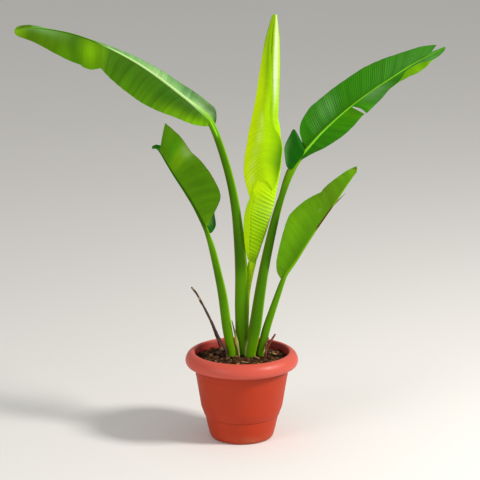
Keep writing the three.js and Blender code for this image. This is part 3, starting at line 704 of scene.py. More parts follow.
class Shape(Nodes):
    """A geometry node tree. given holds its inputs by name; one of them is its Finish."""

    def __init__(self, name, **inputs):
        super().__init__(bpy.data.node_groups.new(name, "GeometryNodeTree"))
        sockets = self.tree.interface
        for label, (kind, *default) in {**inputs, "Finish": ("Material",)}.items():
            label = label.replace("_", " ")
            socket = sockets.new_socket(label, in_out="INPUT", socket_type="NodeSocket" + kind)
            if default:
                socket.default_value = default[0]
        sockets.new_socket("Geometry", in_out="OUTPUT", socket_type="NodeSocketGeometry")
        outputs = self.tree.nodes.new("NodeGroupInput").outputs
        self.given = {socket.name: Field(self, socket) for socket in outputs}

    def named(self, kind, name):
        return self.out("GeometryNodeInputNamedAttribute", {"Name": name}, "Attribute", data_type=kind)

    def store(self, geometry, name, kind, value, domain="POINT"):
        inputs = {"Geometry": geometry, "Name": name, "Value": value}
        return self.out("GeometryNodeStoreNamedAttribute", inputs, data_type=kind, domain=domain)

    def sheet_along(self, line):
        """A sheet with a row of sides for each point of a line.

        Returns the sheet, the turn round the row from 0 to 1, and a reader of the line's fields.
        """
        inputs = {"Geometry": line}
        rows = self.out("GeometryNodeAttributeDomainSize", inputs, "Point Count", component="MESH")
        sheet = self.out("GeometryNodeMeshGrid", {
            "Size X": 1.0, "Size Y": 1.0, "Vertices X": self.given["Sides"] + 1, "Vertices Y": rows,
        }, "Mesh")
        position = self.out("GeometryNodeInputPosition")
        x, y, _ = position.parts()
        row = ((y + 0.5) * (rows - 1)).maths("ROUND")

        def read(kind, name=None):
            held = self.named(kind, name) if name else position
            inputs = {"Geometry": line, "Value": held, "Index": row}
            return self.out("GeometryNodeSampleIndex", inputs, data_type=kind, domain="POINT")

        return sheet, x + 0.5, read

    def end_closed(self, sheet, position):
        """Ends with the sheet moved into place, its seam and end rows merged, smoothly shaded."""
        placed = self.out("GeometryNodeSetPosition", {"Geometry": sheet, "Position": position})
        merged = self.out("GeometryNodeMergeByDistance", {"Geometry": placed, "Distance": 2e-6})
        return self.end(self.out("GeometryNodeSetShadeSmooth", {"Geometry": merged}))

    def end(self, geometry):
        """Every tree ends in plain geometry with its finish on."""
        plain = self.out("GeometryNodeRealizeInstances", {"Geometry": geometry})
        inputs = {"Geometry": plain, "Material": self.given["Finish"]}
        self.add("NodeGroupOutput", {"Geometry": self.out("GeometryNodeSetMaterial", inputs)})
        return self.tree


def turned_tree():
    """A profile turned about the Z axis: the profile's x is the radius, its z the height."""
    shape = Shape("turned body", Profile=("Geometry",), Sides=("Int", 160))
    sheet, turn, read = shape.sheet_along(shape.given["Profile"])
    radius, _, height = read("FLOAT_VECTOR").parts()
    angle = turn * (2 * math.pi)
    sheet = shape.store(sheet, "inside", "FLOAT", read("FLOAT", "inside"))
    x, y = radius * angle.maths("COSINE"), radius * angle.maths("SINE")
    return shape.end_closed(sheet, shape.combine(x, y, height))


def stalk_tree():
    """An oval section carried along a line of points, with a channel on one side.

    The line's points hold across and through, the half axes of the oval there.
    """
    shape = Shape(
        "stalk along its line", Line=("Geometry",), Sides=("Int", 28), Channel_Depth=("Float", 0.16),
        Channel_Angle=("Float", 0.0), Channel_Width=("Float", 1.0),
    )
    given = shape.given
    sheet, turn, read = shape.sheet_along(given["Line"])
    angle = turn * (2 * math.pi)
    away = (angle - given["Channel Angle"]).maths("WRAP", math.pi, -math.pi)
    away = away.maths("DIVIDE", given["Channel Width"])
    dip = (1.0 - away * away).maths("MAXIMUM", 0.0)
    reach = 1.0 - dip * dip * given["Channel Depth"]
    side = read("FLOAT_VECTOR", "across").scaled(reach * angle.maths("COSINE"))
    depth = read("FLOAT_VECTOR", "through").scaled(reach * angle.maths("SINE"))
    position = read("FLOAT_VECTOR").vector("ADD", side.vector("ADD", depth))
    sheet = shape.store(sheet, "tone", "FLOAT_COLOR", read("FLOAT_COLOR", "tone"))
    grain = shape.combine(read("FLOAT", "distance"), turn, 0.0)
    return shape.end_closed(shape.store(sheet, "grain", "FLOAT2", grain, "CORNER"), position)


def litter_tree():
    """Flakes or crumbs scattered over a surface, each at its own size, turn and shade."""
    shape = Shape(
        "litter on a surface", Surface=("Geometry",), Density=("Float", 10000.0), Seed=("Int", 1),
        Smallest=("Vector", (0.006, 0.003, 0.001)), Largest=("Vector", (0.017, 0.007, 0.004)),
        Tilt=("Float", 0.5), Raggedness=("Float", 0.0012), Sunk=("Float", 0.0),
    )
    given = shape.given
    points = shape.out("GeometryNodeDistributePointsOnFaces", {
        "Mesh": given["Surface"], "Seed": given["Seed"],
        "Density": given["Density"] * shape.named("FLOAT", "open"),
    }, "Points", distribute_method="RANDOM")

    def random(kind, low, high, step):
        node = shape.add("FunctionNodeRandomValue", {"Seed": given["Seed"] + step}, data_type=kind)
        ports = [socket for socket in node.inputs if socket.enabled and socket.name in ("Min", "Max")]
        shape.feed(ports[0], low)
        shape.feed(ports[1], high)
        return Field(shape, [socket for socket in node.outputs if socket.enabled][0])

    tilt = given["Tilt"]
    leans = [random("FLOAT", tilt * -1.0, tilt, step) for step in (1, 2)]
    flake = shape.out("GeometryNodeMeshCube", {
        "Size": (1, 1, 1), "Vertices X": 4, "Vertices Y": 3, "Vertices Z": 2,
    }, "Mesh")
    placed = shape.out("GeometryNodeInstanceOnPoints", {
        "Points": points, "Instance": flake,
        "Rotation": shape.combine(*leans, random("FLOAT", 0.0, 2 * math.pi, 3)),
        "Scale": random("FLOAT_VECTOR", given["Smallest"], given["Largest"], 4),
    })
    placed = shape.store(placed, "shade", "FLOAT", random("FLOAT", 0.0, 1.0, 5), "INSTANCE")
    plain = shape.out("GeometryNodeRealizeInstances", {"Geometry": placed})
    noise = shape.out("ShaderNodeTexNoise", {"Scale": 260.0, "Detail": 1.0}, "Color")
    shift = noise.vector("SUBTRACT", (0.5, 0.5, 0.5)).scaled(given["Raggedness"])
    shift = shift.vector("SUBTRACT", shape.combine(0.0, 0.0, given["Sunk"]))
    return shape.end(shape.out("GeometryNodeSetPosition", {"Geometry": plain, "Offset": shift}))


def grown(name, mesh, tree, **values):
    """Runs a geometry node tree on a mesh and returns a plain object of that name."""
    carrier = bpy.data.objects.new(name, mesh)
    bpy.context.scene.collection.objects.link(carrier)
    modifier = carrier.modifiers.new("shape", "NODES")
    modifier.node_group = tree
    for socket in tree.interface.items_tree:
        label = socket.name.replace(" ", "_")
        if socket.in_out == "INPUT" and label in values:
            modifier[socket.identifier] = values[label]
    depsgraph = bpy.context.evaluated_depsgraph_get()
    result = bpy.data.meshes.new_from_object(carrier.evaluated_get(depsgraph))
    carrier.modifiers.remove(modifier)
    carrier.data = result
    result.name = name
    if not len(result.polygons):
        raise RuntimeError(f"{name} came out empty")
    return carrier


def polyline(name, points, fields):
    """A mesh of points joined in a line, with its fields as attributes."""
    mesh = bpy.data.meshes.new(name)
    edges = [(index, index + 1) for index in range(len(points) - 1)]
    mesh.from_pydata([tuple(point) for point in points], edges, [])
    write_fields(mesh, fields)
    return mesh


def write_fields(mesh, fields):
    """Writes numbers, vectors or colours of the points as attributes, by their width."""
    kinds = {1: ("FLOAT", "value"), 3: ("FLOAT_VECTOR", "vector"), 4: ("FLOAT_COLOR", "color")}
    for label, values in fields.items():
        values = np.asarray(values, np.float32)
        kind, slot = kinds[1 if values.ndim == 1 else values.shape[1]]
        mesh.attributes.new(label, kind, "POINT").data.foreach_set(slot, values.ravel())


def read_points(mesh):
    points = np.empty(len(mesh.vertices) * 3, np.float32)
    mesh.vertices.foreach_get("co", points)
    return points.reshape(-1, 3)


def joined(name, objects):
    """Several plain pieces made into one."""
    first = objects[0]
    if len(objects) > 1:
        with bpy.context.temp_override(
            active_object=first, object=first, selected_objects=objects,
            selected_editable_objects=objects,
        ):
            bpy.ops.object.join()
    first.name = name
    first.data.name = name
    return first


def settled(piece, slot, *nodes):
    """Ties a finished piece to the frame: hides the parts it stands for and hangs it on the body it
    rides on.
    """
    if nodes:
        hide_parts(*nodes)
    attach(piece, BODY)
    return piece


# ---------- finishes ----------


class Finish(Nodes):
    """A material under construction, with short ways to the nodes that every finish uses."""

    def __init__(self, name):
        self.material = bpy.data.materials.new(name)
        self.material.use_nodes = True
        super().__init__(self.material.node_tree)
        self.tree.nodes.clear()
        self.shader = self.add("ShaderNodeBsdfPrincipled")
        self.add("ShaderNodeOutputMaterial", {"Surface": Field(self, self.shader.outputs[0])})
        self.place = self.out("ShaderNodeTexCoord", output="Object")

    def map(self, name):
        return self.out("ShaderNodeUVMap", uv_map=name).parts()[:2]

    def field(self, name, output="Fac"):
        return self.out("ShaderNodeAttribute", output=output, attribute_name=name)

    def noise(self, vector, scale, detail=2.0, roughness=0.5):
        inputs = {"Vector": vector, "Scale": scale, "Detail": detail, "Roughness": roughness}
        return self.out("ShaderNodeTexNoise", inputs)

    def cells(self, scale):
        return self.out("ShaderNodeTexVoronoi", {"Vector": self.place, "Scale": scale}, "Distance")

    def end(self, colour, roughness, relief=None, **sockets):
        """Feeds the shader's own sockets. relief: height, strength and distance of a bump."""
        if relief:
            inputs = dict(zip(("Height", "Strength", "Distance"), relief))
            sockets["Normal"] = self.out("ShaderNodeBump", inputs)
        for label, value in {"Base_Color": colour, "Roughness": roughness, **sockets}.items():
            self.feed(self.shader.inputs[label.replace("_", " ")], value)
        return self.material


def pot_finish(pot):
    """Satin moulded plastic, pinker on the rim, darker and redder inside as painted shade, with a
    painted shadow in the groove, a little dusty at the foot.
    """
    finish = Finish("terracotta_plastic")
    place = finish.place
    height = place.parts()[2]
    cloud = finish.noise(place, 9.0, 3.0)
    colour = finish.mix(height.between(0.160, 0.172), pot.body, pot.rim)
    # The inner wall takes the darker inside colour: painted shade.
    colour = colour.mixed(finish.field("inside"), pot.inside).scaled(cloud.swing(0.07))
    grime = finish.noise(place, 38.0, 4.0, 0.65)
    dust = height.between(0.03, 0.0) * grime.between(0.35, 0.8)
    colour = colour.mixed(dust * 0.5, screen(176, 116, 84))
    # A painted shadow darkens the groove at 52.6 mm.
    groove = (height - 0.0526).maths("ABSOLUTE").between(0.0018, 0.0)
    colour = colour.mixed(groove * 0.35, screen(120, 38, 22))
    streaks = finish.noise(place.scaled((260.0, 260.0, 8.0)), 1.0)
    matt = grime.between(0.3, 0.75, pot.roughness - 0.03, pot.roughness + 0.1)
    polish = height.between(0.168, 0.176, 0.0, 0.1)
    relief = finish.noise(place, 1500.0) + cloud * 0.6
    return finish.end(
        colour.scaled(streaks.swing(0.035)), matt - polish, (relief, 0.12, 0.0004),
        IOR=1.46, Specular_IOR_Level=0.36,
    )


def soil_finish(soil):
    """Damp peat with coarse grains and pale specks."""
    finish = Finish("potting_mix")
    grain = finish.noise(finish.place, 420.0, 4.0, 0.7)
    clods = finish.cells(210.0)
    colour = finish.mix(grain.between(0.35, 0.75), soil.dark, soil.bark)
    colour = colour.scaled(clods.between(0.0, 0.9, 0.45, 1.1))
    specks = finish.noise(finish.place, 900.0, 1.0).between(0.72, 0.78)
    return finish.end(
        colour.mixed(specks * 0.8, soil.pale), grain.between(0.3, 0.7, 0.8, 0.98),
        (grain + clods * 1.6, 0.9, 0.002), Specular_IOR_Level=0.12,
    )


def bark_finish(name, soil):
    """Bark and wood flakes: each has its own shade, with grain along it."""
    finish = Finish(name)
    shade = finish.field("shade")
    colour = finish.mix(shade.between(0.1, 0.72), soil.dark, soil.bark)
    colour = colour.mixed(shade.between(0.84, 0.98), soil.pale)
    fibre = finish.noise(finish.place.scaled((900.0, 260.0, 500.0)), 1.0, 3.0, 0.6)
    return finish.end(
        colour.scaled(fibre.between(0.25, 0.8, 0.55, 1.35)), fibre.between(0.3, 0.8, 0.7, 0.95),
        (fibre, 0.7, 0.0008), Specular_IOR_Level=0.15,
    )


def blade_finish(name, leaf, young):
    """Leaf blade: its tone is painted on the mesh; veins, bands and mottling follow the map.

    The map's x runs along the blade in metres and its y from the midrib to the margin.
    """
    finish = Finish(name)
    along, across = finish.map("veins")
    threads = finish.noise(finish.combine(along * 1500.0, across * 5.0, 0.0), 1.0)
    bands = finish.noise(finish.combine(along * 75.0, across * 1.3, 3.0), 1.0)
    cloud = finish.noise(finish.place, 22.0, 3.0)
    amount = bands.swing(0.10) * threads.swing(0.05) * cloud.swing(0.10)
    # Paler pleat crests: partly paler veins, partly a painted highlight on the crests.
    colour = finish.field("tone", "Color").scaled(amount * (finish.field("ridge") + 1.0))
    margin = across.between(0.982, 0.998)
    colour = colour.mixed(margin * 0.7, finish.field("edge", "Color"))
    fleck = finish.cells(95.0).between(0.09, 0.05)
    fleck = fleck * finish.noise(finish.place, 17.0, 1.0).between(0.6, 0.7)
    smooth = 0.36 if young else 0.42
    return finish.end(
        colour.mixed(fleck * (0.1 if young else 0.5), leaf.brown),
        cloud.between(0.3, 0.7, smooth, smooth + 0.14), (threads + bands * 0.8, 0.22, 0.0003),
        IOR=1.45, Specular_IOR_Level=leaf.gloss,
    )


def stalk_finish(name, leaf, sides):
    """Stalk and midrib: smooth skin with fine fibres.

    sides says how strongly light is painted in sap on its right side and shade in bronze on its left.
    """
    finish = Finish(name)
    along, turn = finish.map("grain")
    fibres = finish.noise(finish.combine(along * 14.0, turn * 70.0, 0.0), 1.0, 3.0)
    cloud = finish.noise(finish.place, 26.0, 3.0)
    colour = finish.field("tone", "Color").scaled(fibres.swing(0.12) * cloud.swing(0.12))
    # Painted light on the right side of the stalk and painted shade on its left.
    side = (turn * (2 * math.pi)).maths("COSINE")
    colour = colour.mixed(side.between(0.7, 0.98) * (0.55 * sides), leaf.sap)
    colour = colour.mixed(side.between(-0.6, -0.95) * (0.6 * sides), leaf.painted_stalk_shade)
    return finish.end(
        colour, cloud.between(0.3, 0.7, 0.36, 0.5), (fibres, 0.25, 0.0004),
        IOR=1.45, Specular_IOR_Level=leaf.gloss,
    )


def dry_finish(name, skin, fibre_colour, worn_from, darkening=(1.0, 1.1)):
    """Weathered old stalk: dark skin worn through to pale fibre.

    darkening: it goes darker from one height to the other, in metres; as a rule both lie above it.
    """
    finish = Finish(name)
    along, turn = finish.map("grain")
    fibres = finish.noise(finish.combine(along * 40.0, turn * 26.0, 0.0), 1.0, 4.0, 0.6)
    worn = finish.noise(finish.place, 60.0, 3.0, 0.6) * fibres.swing(0.4)
    colour = finish.mix(worn.between(worn_from, worn_from + 0.16), skin, fibre_colour)
    shade = finish.place.parts()[2].between(*darkening, 1.0, 0.3)
    return finish.end(
        colour.scaled(fibres.swing(0.3)).scaled(shade), fibres.between(0.2, 0.8, 0.65, 0.9),
        (fibres, 0.8, 0.0009),
    )


def floor_finish(stage):
    """A plain matt floor with the faintest unevenness."""
    finish = Finish("plain_floor")
    cloud = finish.noise(finish.place, 1.2, 3.0)
    return finish.end(cloud.swing(0.012).scaled(tuple(stage.floor)), 0.9)


# ---------- pot and soil ----------


def rounded(corners, cut, steps=4):
    """A profile with its corners cut by small curves."""
    corners = np.asarray(corners, float)
    made = [corners[0]]
    for before, corner, after in zip(corners, corners[1:], corners[2:]):
        start, end = (
            corner + way * (min(cut, 0.45 * np.linalg.norm(way)) / np.linalg.norm(way))
            for way in (before - corner, after - corner)
        )
        for t in np.linspace(0, 1, steps):
            made.append((1 - t) ** 2 * start + 2 * t * (1 - t) * corner + t * t * end)
    made.append(corners[-1])
    return np.array(made)


def wall_radius(height):
    """Radius of the inside of the pot's wall."""
    radii, heights = zip(*POT_OUTSIDE)
    return np.interp(height, heights, radii) - POT_WALL


SOIL_RADIUS = float(wall_radius(160)) - FIT_GAP


def soil_height(x, y):
    """Height of the soil's surface above the pot's base."""
    radius = np.hypot(x, y) / SOIL_RADIUS
    ripple = np.sin(x * 0.11 + 1.3) * np.cos(y * 0.13 - 0.4) + np.sin(x * 0.05 - y * 0.07)
    mound = SOIL_CROWN * (1 - radius * radius)
    return SOIL_EDGE_HEIGHT + mound + SOIL_RIPPLE * ripple * np.minimum(1, 4 * (1 - radius))


def inner_wall(clearance):
    """Inside of the pot from its floor up, as radius and height."""
    levels = [POT_FLOOR + 4, 50, 60, 74, 160]
    floor = (wall_radius(POT_FLOOR + 4) - 4 - clearance, POT_FLOOR + clearance)
    return [floor] + [(wall_radius(level) - clearance, level) for level in levels]


def turned(name, profile, inside, sides, finish):
    """A body turned from its profile. inside is 1 on the part that only shows from above."""
    points = [(radius * MM, 0, height * MM) for radius, height in profile]
    line = polyline(name + "_profile", points, {"inside": inside})
    return grown(name, line, turned_tree(), Sides=sides, Finish=finish)


def build_pot(context):
    pot = context.scene.palm_pot
    under = rounded([*POT_UNDERSIDE, *POT_OUTSIDE[:FOOT_CORNERS]], 1.2)
    radii, heights = zip(*POT_OUTSIDE[FOOT_CORNERS:])
    levels = np.arange(heights[0], heights[-1], 1.0)
    ring = sum(np.exp(-(((levels - level) / RING_WIDTH) ** 2)) for level in RING_HEIGHTS)
    ring = ring * pot.ring_height / MM
    wall = np.column_stack([np.interp(levels, heights, radii) + ring, levels])
    neck = rounded([*NECK, *ROLL_HOLLOW, RIM_ROLL[0]], 1.0)
    roll = smooth_line(RIM_ROLL, np.linspace(0, len(RIM_ROLL) - 1, ROLL_POINTS))
    inner = rounded([RIM_ROLL[-1], *inner_wall(0)[::-1], (0, POT_FLOOR)], 2.5)
    profile = np.concatenate([under[:-1], wall, neck, roll[1:-1], inner[1:]])
    inside = np.concatenate([
        np.zeros(len(profile) - len(inner) - 4), np.linspace(0, 1, 5), np.ones(len(inner) - 1),
    ])
    shell = turned("pot_shell", profile, inside, pot.sides, pot_finish(pot))
    settled(shell, "pot_plastic", "pot")


def stem_feet():
    """x, y and reach of everything that stands in the soil."""
    feet = [leaf["line"][0] for leaf in LEAVES.values()]
    feet += [strand[0] for strands in DRY_STRANDS.values() for strand in strands]
    return np.array([(x, y, half) for x, y, _, half in feet], float)


def soil_body(soil, random):
    """The soil as a turned body with clods on its top."""
    top = [(SOIL_RADIUS * part, SOIL_EDGE_HEIGHT) for part in np.linspace(1, 0, SOIL_RINGS)]
    wall = rounded([*inner_wall(FIT_GAP), (SOIL_RADIUS, SOIL_EDGE_HEIGHT - 4)], 2.0)
    profile = np.concatenate([[(0, POT_FLOOR + FIT_GAP)], wall, top])
    body = turned("soil_bed", profile, np.zeros(len(profile)), SOIL_SIDES, soil_finish(soil))
    points = read_points(body.data).astype(float)
    on_top = points[:, 2] > (SOIL_EDGE_HEIGHT - 1) * MM
    x, y = points[on_top, :2].T / MM
    clods = np.sin(x * 0.9 + 2 * np.sin(y * 0.5)) * np.sin(y * 0.8 + 1.5 * np.sin(x * 0.6))
    clods = SOIL_CLOD * clods + random.uniform(-0.5, 0.5, len(x))
    edge = np.clip((1 - np.hypot(x, y) / SOIL_RADIUS) * 12, 0, 1)
    points[on_top, 2] = (soil_height(x, y) - 1.0 + clods * edge) * MM
    body.data.vertices.foreach_set("co", points.ravel().astype(np.float32))
    body.data.update()
    return body


def scatter_surface(size=81):
    """The top of the soil, with a field that says where it is open, clear of stems and wall."""
    steps = np.linspace(-SOIL_RADIUS, SOIL_RADIUS, size)
    x, y = np.meshgrid(steps, steps)
    feet = stem_feet()
    spread = np.hypot(x[..., None] - feet[:, 0], (y[..., None] - feet[:, 1]) * 1.2)
    clear = np.min(spread - feet[:, 2] * 0.9 - 2.5, axis=-1)
    is_open = (clear > 0) & (np.hypot(x, y) < SOIL_RADIUS - 5)
    points = np.stack([x, y, soil_height(x, y)], -1).reshape(-1, 3) * MM
    fields = {"open": is_open.astype(float).ravel()}
    return plain_mesh("scatter_surface", points, grid_quads(size, size), fields=fields)


def build_soil(context):
    soil = context.scene.palm_soil
    settled(soil_body(soil, np.random.default_rng(soil.seed)), "potting_soil", "soil")
    tree = litter_tree()
    for name, finish, density, step, size, smallest, largest, tilt, raggedness, sunk in (
        ("bark_flakes", "bark", soil.bark_per_area, 0, soil.bark_length,
         (0.4, 0.18, 0.08), (1, 0.42, 0.2), 0.42, 0.0022, 0.0006),
        ("soil_crumbs", "crumbs", soil.crumbs_per_area, 40, soil.crumb_size,
         (0.3, 0.3, 0.25), (1, 0.8, 0.6), 1.5, 0.0016, 0.0002),
    ):
        litter = grown(
            name, scatter_surface(), tree, Density=density, Seed=soil.seed + step,
            Smallest=[part * size for part in smallest], Largest=[part * size for part in largest],
            Tilt=tilt, Raggedness=raggedness, Sunk=sunk, Finish=bark_finish(finish, soil),
        )
        settled(litter, "potting_soil")


# ---------- blades and stalks ----------


def grid_quads(rows, columns, start=0, flip=False):
    """Quads of a grid whose points are stored row by row."""
    corner = (np.arange(rows - 1)[:, None] * columns + np.arange(columns - 1)).ravel() + start
    quads = np.column_stack([corner, corner + columns, corner + columns + 1, corner + 1])
    return quads[:, ::-1] if flip else quads


def plain_mesh(name, points, faces, material=None, uv=None, fields=None):
    """A mesh with smooth faces, a map called veins and its fields."""
    mesh = bpy.data.meshes.new(name)
    mesh.from_pydata([tuple(point) for point in points], [], [tuple(face) for face in faces])
    if uv is not None:
        layer = mesh.uv_layers.new(name="veins")
        corner_points = np.empty(len(mesh.loops), np.int32)
        mesh.loops.foreach_get("vertex_index", corner_points)
        layer.uv.foreach_set("vector", np.asarray(uv, np.float32)[corner_points].ravel())
    write_fields(mesh, fields or {})
    if material:
        mesh.materials.append(material)
    mesh.shade_smooth()
    return mesh


def linked(name, data):
    """An object with that data, in the scene."""
    piece = bpy.data.objects.new(name, data)
    bpy.context.scene.collection.objects.link(piece)
    return piece


def vein_surface(line, rows, belly):
    """A reader of blade points, by places along the rows and shares of the way to the margin."""
    rows = np.array(rows, float)
    guides = [rows[:, first:first + 3] for first in range(1, rows.shape[1], 3)]
    path = [point[:3] for point in line]

    def read(u, v):
        root = smooth_line(path, straight_line(rows[:, 0], u))
        edges = [smooth_line(guide, u) for guide in guides]
        if len(edges) > 1:
            vein = np.stack([root, *edges])
            return smooth_line(vein, v * len(edges)).transpose(1, 0, 2)
        part = v[None, :, None]
        points = root[:, None] * (1 - part) + edges[0][:, None] * part
        points[..., 2] += belly * np.sin(np.pi * v)
        return points

    return read


def surface_normals(read, u, v, last):
    """Normals of the surface that read gives, from points a little to each side."""
    reach = 0.02
    along = read(np.minimum(u + reach, last), v) - read(np.maximum(u - reach, 0), v)
    across = read(u, np.minimum(v + reach, 1)) - read(u, np.maximum(v - reach, 0))
    return unit(np.cross(along, across))


def blade_tones(tones, spots, palette, part, v):
    """Colours of a blade: those along it, with soft spots laid over them."""
    shown = np.repeat(tones_along(tones, palette, part)[:, None], len(v), axis=1)
    for place, across, reach_along, reach_across, label, strength in spots:
        away = ((part[:, None] - place) / reach_along) ** 2
        away = away + ((v[None, :] - across) / reach_across) ** 2
        cover = (strength * np.exp(-away))[..., None]
        shown = shown * (1 - cover) + np.array(palette[label]) * cover
    return shown


def blade_skin(line, rows, looks, leaf, palette, random):
    """A thin closed skin, pleated along its veins. Returns points, quads, map and fields."""
    read = vein_surface(line, rows, looks.get("belly", 0))
    last = len(rows) - 1
    dense = np.linspace(0, last, last * ROW_SAMPLES + 1)
    run = run_length(read(dense, np.array([PITCH_PLACE]))[:, 0])
    pitch = looks.get("pitch", leaf.pleat_pitch) / MM
    steps = max(FEWEST_STEPS, int(run[-1] / pitch * PLEAT_POINTS))
    distance = np.linspace(0, run[-1], steps + 1)
    u = np.interp(distance, run, dense)
    columns = BLADE_COLUMNS + len(rows[0])
    v = 1 - (1 - np.linspace(0, 1, columns)) ** 1.15
    points, normals = read(u, v), surface_normals(read, u, v, last)

    broad = max(2, round(run[-1] / BROAD_WAVE))
    fold = distance / run[-1] * broad
    fade = np.minimum(1, np.minimum(fold / 2, (broad - fold) / 2)).clip(0)
    waves = np.cos(np.pi * fold) * fade * leaf.wave_height / MM * looks.get("wave", 0.35)
    turns = distance / pitch + 0.5 * wander(distance, 4 * pitch, random)
    pleat = np.sin(2 * np.pi * turns) * (1 + 0.4 * wander(distance, 2 * pitch, random)) * fade
    part = distance / run[-1]
    height = along_piece(looks.get("height", leaf.pleat_height / MM), part)
    ridge = along_piece(looks.get("ridge", 0.03), part)
    window = np.sin(0.5 * np.pi * np.minimum(1, 2.2 * v))
    fine = (pleat[:, None] * window) * (1 - ease(v, *looks.get("calm", (0.8, 1))))
    relief = waves[:, None] * window * (1 - 0.85 * ease(v, 0.6, 1)) + height[:, None] * fine
    margin = wander(distance, 9, random) + 0.5 * wander(distance, 3, random)
    outward = unit(points[:, -1] - points[:, -3])
    slack = (MARGIN_WANDER * margin)[:, None, None] * outward[:, None] * fade[:, None, None]
    slack = slack * ease(v, 0.8, 1)[None, :, None]
    half = 0.5 * leaf.thickness / MM * (1 - MARGIN_THINNING * ease(v, 0.85, 1))

    shape = (len(u) * columns, 3)
    front, back = (
        (points + slack + normals * (relief + side * half)[..., None]).reshape(shape)
        for side in (1, -1)
    )
    total = len(front)
    rim = np.concatenate([
        np.arange(len(u) - 1) * columns,
        (len(u) - 1) * columns + np.arange(columns - 1),
        np.arange(len(u) - 1, 0, -1) * columns + columns - 1,
        np.arange(columns - 1, 0, -1),
    ])
    after = np.roll(rim, -1)
    quads = np.concatenate([
        grid_quads(len(u), columns), grid_quads(len(u), columns, total, flip=True),
        np.column_stack([rim, rim + total, after + total, after]),
    ])
    change = wander(distance, 7, random) + 0.6 * wander(distance, 2.5, random)
    streaks = 1 + looks.get("streak", 0.04) * change[:, None, None] * window[:, None]
    tone = blade_tones(looks["tones"], looks.get("spots", ()), palette, part, v) * streaks
    behind = looks.get("behind", "olive"), looks.get("behind_spots", ())
    seen_behind = blade_tones(*behind, palette, part, v)
    if normals[:, columns // 2, 1].mean() > 0:
        tone, seen_behind = seen_behind, tone
    colours = np.concatenate([tone.reshape(shape), seen_behind.reshape(shape)])
    ridges = (fine * ridge[:, None]).ravel()
    offset = random.uniform(0, 40)
    uv = np.column_stack([np.repeat(distance * MM + offset, columns), np.tile(v, len(u))])
    return np.concatenate([front, back]) * MM, quads, np.concatenate([uv, uv]), {
        "tone": np.column_stack([colours, np.ones(len(colours))]),
        "edge": np.tile((*palette[looks["edge"]], 1), (2 * total, 1)),
        "ridge": np.concatenate([ridges, -ridges]),
    }


def build_blades(name, source, leaf, palette, random, finish):
    """All the blade pieces of one leaf, as one mesh."""
    points, quads, maps, fields = [], [], [], []
    start = 0
    for rows, looks in source["blades"].values():
        skin = blade_skin(source["line"], rows, looks, leaf, palette, random)
        points.append(skin[0])
        quads.append(skin[1] + start)
        maps.append(skin[2])
        fields.append(skin[3])
        start += len(skin[0])
    fields = {label: np.concatenate([held[label] for held in fields]) for label in fields[0]}
    mesh = plain_mesh(name + "_blade", np.concatenate(points), np.concatenate(quads), finish,
                      np.concatenate(maps), fields)
    mesh.set_sharp_from_angle(angle=math.radians(50))
    return linked(name + "_blade", mesh)


def line_mesh(name, rows, flatness, tones, palette, steps=STALK_STEPS, shrivel=0.0, random=None):
    """The points of a stalk with its half axes, tone and distance at each.

    shrivel: how uneven it is; with random it also twists.
    """
    rows = np.asarray(rows, float)
    last = len(rows) - 1
    places = np.linspace(0, last, last * steps + 1)
    centre = smooth_line(rows[:, :3], places)
    ahead = smooth_line(rows[:, :3], places + 0.05) - smooth_line(rows[:, :3], places - 0.05)
    half = straight_line(rows[:, 3], places)
    buried = centre[:1] * [1, 1, 0] + [0, 0, ROOT_BOTTOM]
    centre = np.concatenate([buried, centre])
    ahead = np.concatenate([[[0, 0, 1]], ahead])
    ahead[1] = (0, 0, 1)
    half = np.concatenate([half[:1], half])
    tangent = unit(ahead)
    across = unit(np.cross([0, 1, 0], tangent))
    through = unit(np.cross(tangent, across))
    distance = run_length(centre)
    if random is not None:
        half = half * (1 + shrivel * wander(distance, 9, random))
        twist = (1.5 * wander(distance, 40, random))[:, None]
        across, through = (across * np.cos(twist) + through * np.sin(twist),
                           through * np.cos(twist) - across * np.sin(twist))
    centre = np.concatenate([centre[:1], centre, centre[-1:] + tangent[-1:] * half[-1] * 0.6])
    half = np.pad(half, 1)[:, None]
    across, through, distance = (
        np.concatenate([held[:1], held, held[-1:]]) for held in (across, through, distance)
    )
    tone = tones_along(tones, palette, distance / distance[-1])
    return polyline(name, centre * MM, {
        "across": across * half * MM, "through": through * half * flatness * MM,
        "tone": np.column_stack([tone, np.ones(len(tone))]), "distance": distance * MM,
    })


def paint_strips(piece, line, strips, palette):
    """Colours narrow strips up the side of a stalk, by the angle round its line."""
    x, y, z = read_points(piece.data).T / MM
    line = np.asarray(line, float)
    centre_x, centre_y = (np.interp(z, line[:, 2], line[:, axis]) for axis in (0, 1))
    angle = np.arctan2((y - centre_y) / STALK_FLATNESS, x - centre_x)
    tone = piece.data.attributes["tone"]
    colours = np.empty(len(z) * 4, np.float32)
    tone.data.foreach_get("color", colours)
    colours = colours.reshape(-1, 4)
    for place, reach, low, high, label in strips:
        away = np.abs((angle - place + np.pi) % (2 * np.pi) - np.pi)
        part = (1 - ease(away, 0.5 * reach, reach)) * ease(z, low - 4, low)
        part = part * (1 - ease(z, high - 12, high))
        colours[:, :3] += (np.array(palette[label]) - colours[:, :3]) * part[:, None]
    tone.data.foreach_set("color", colours.ravel())


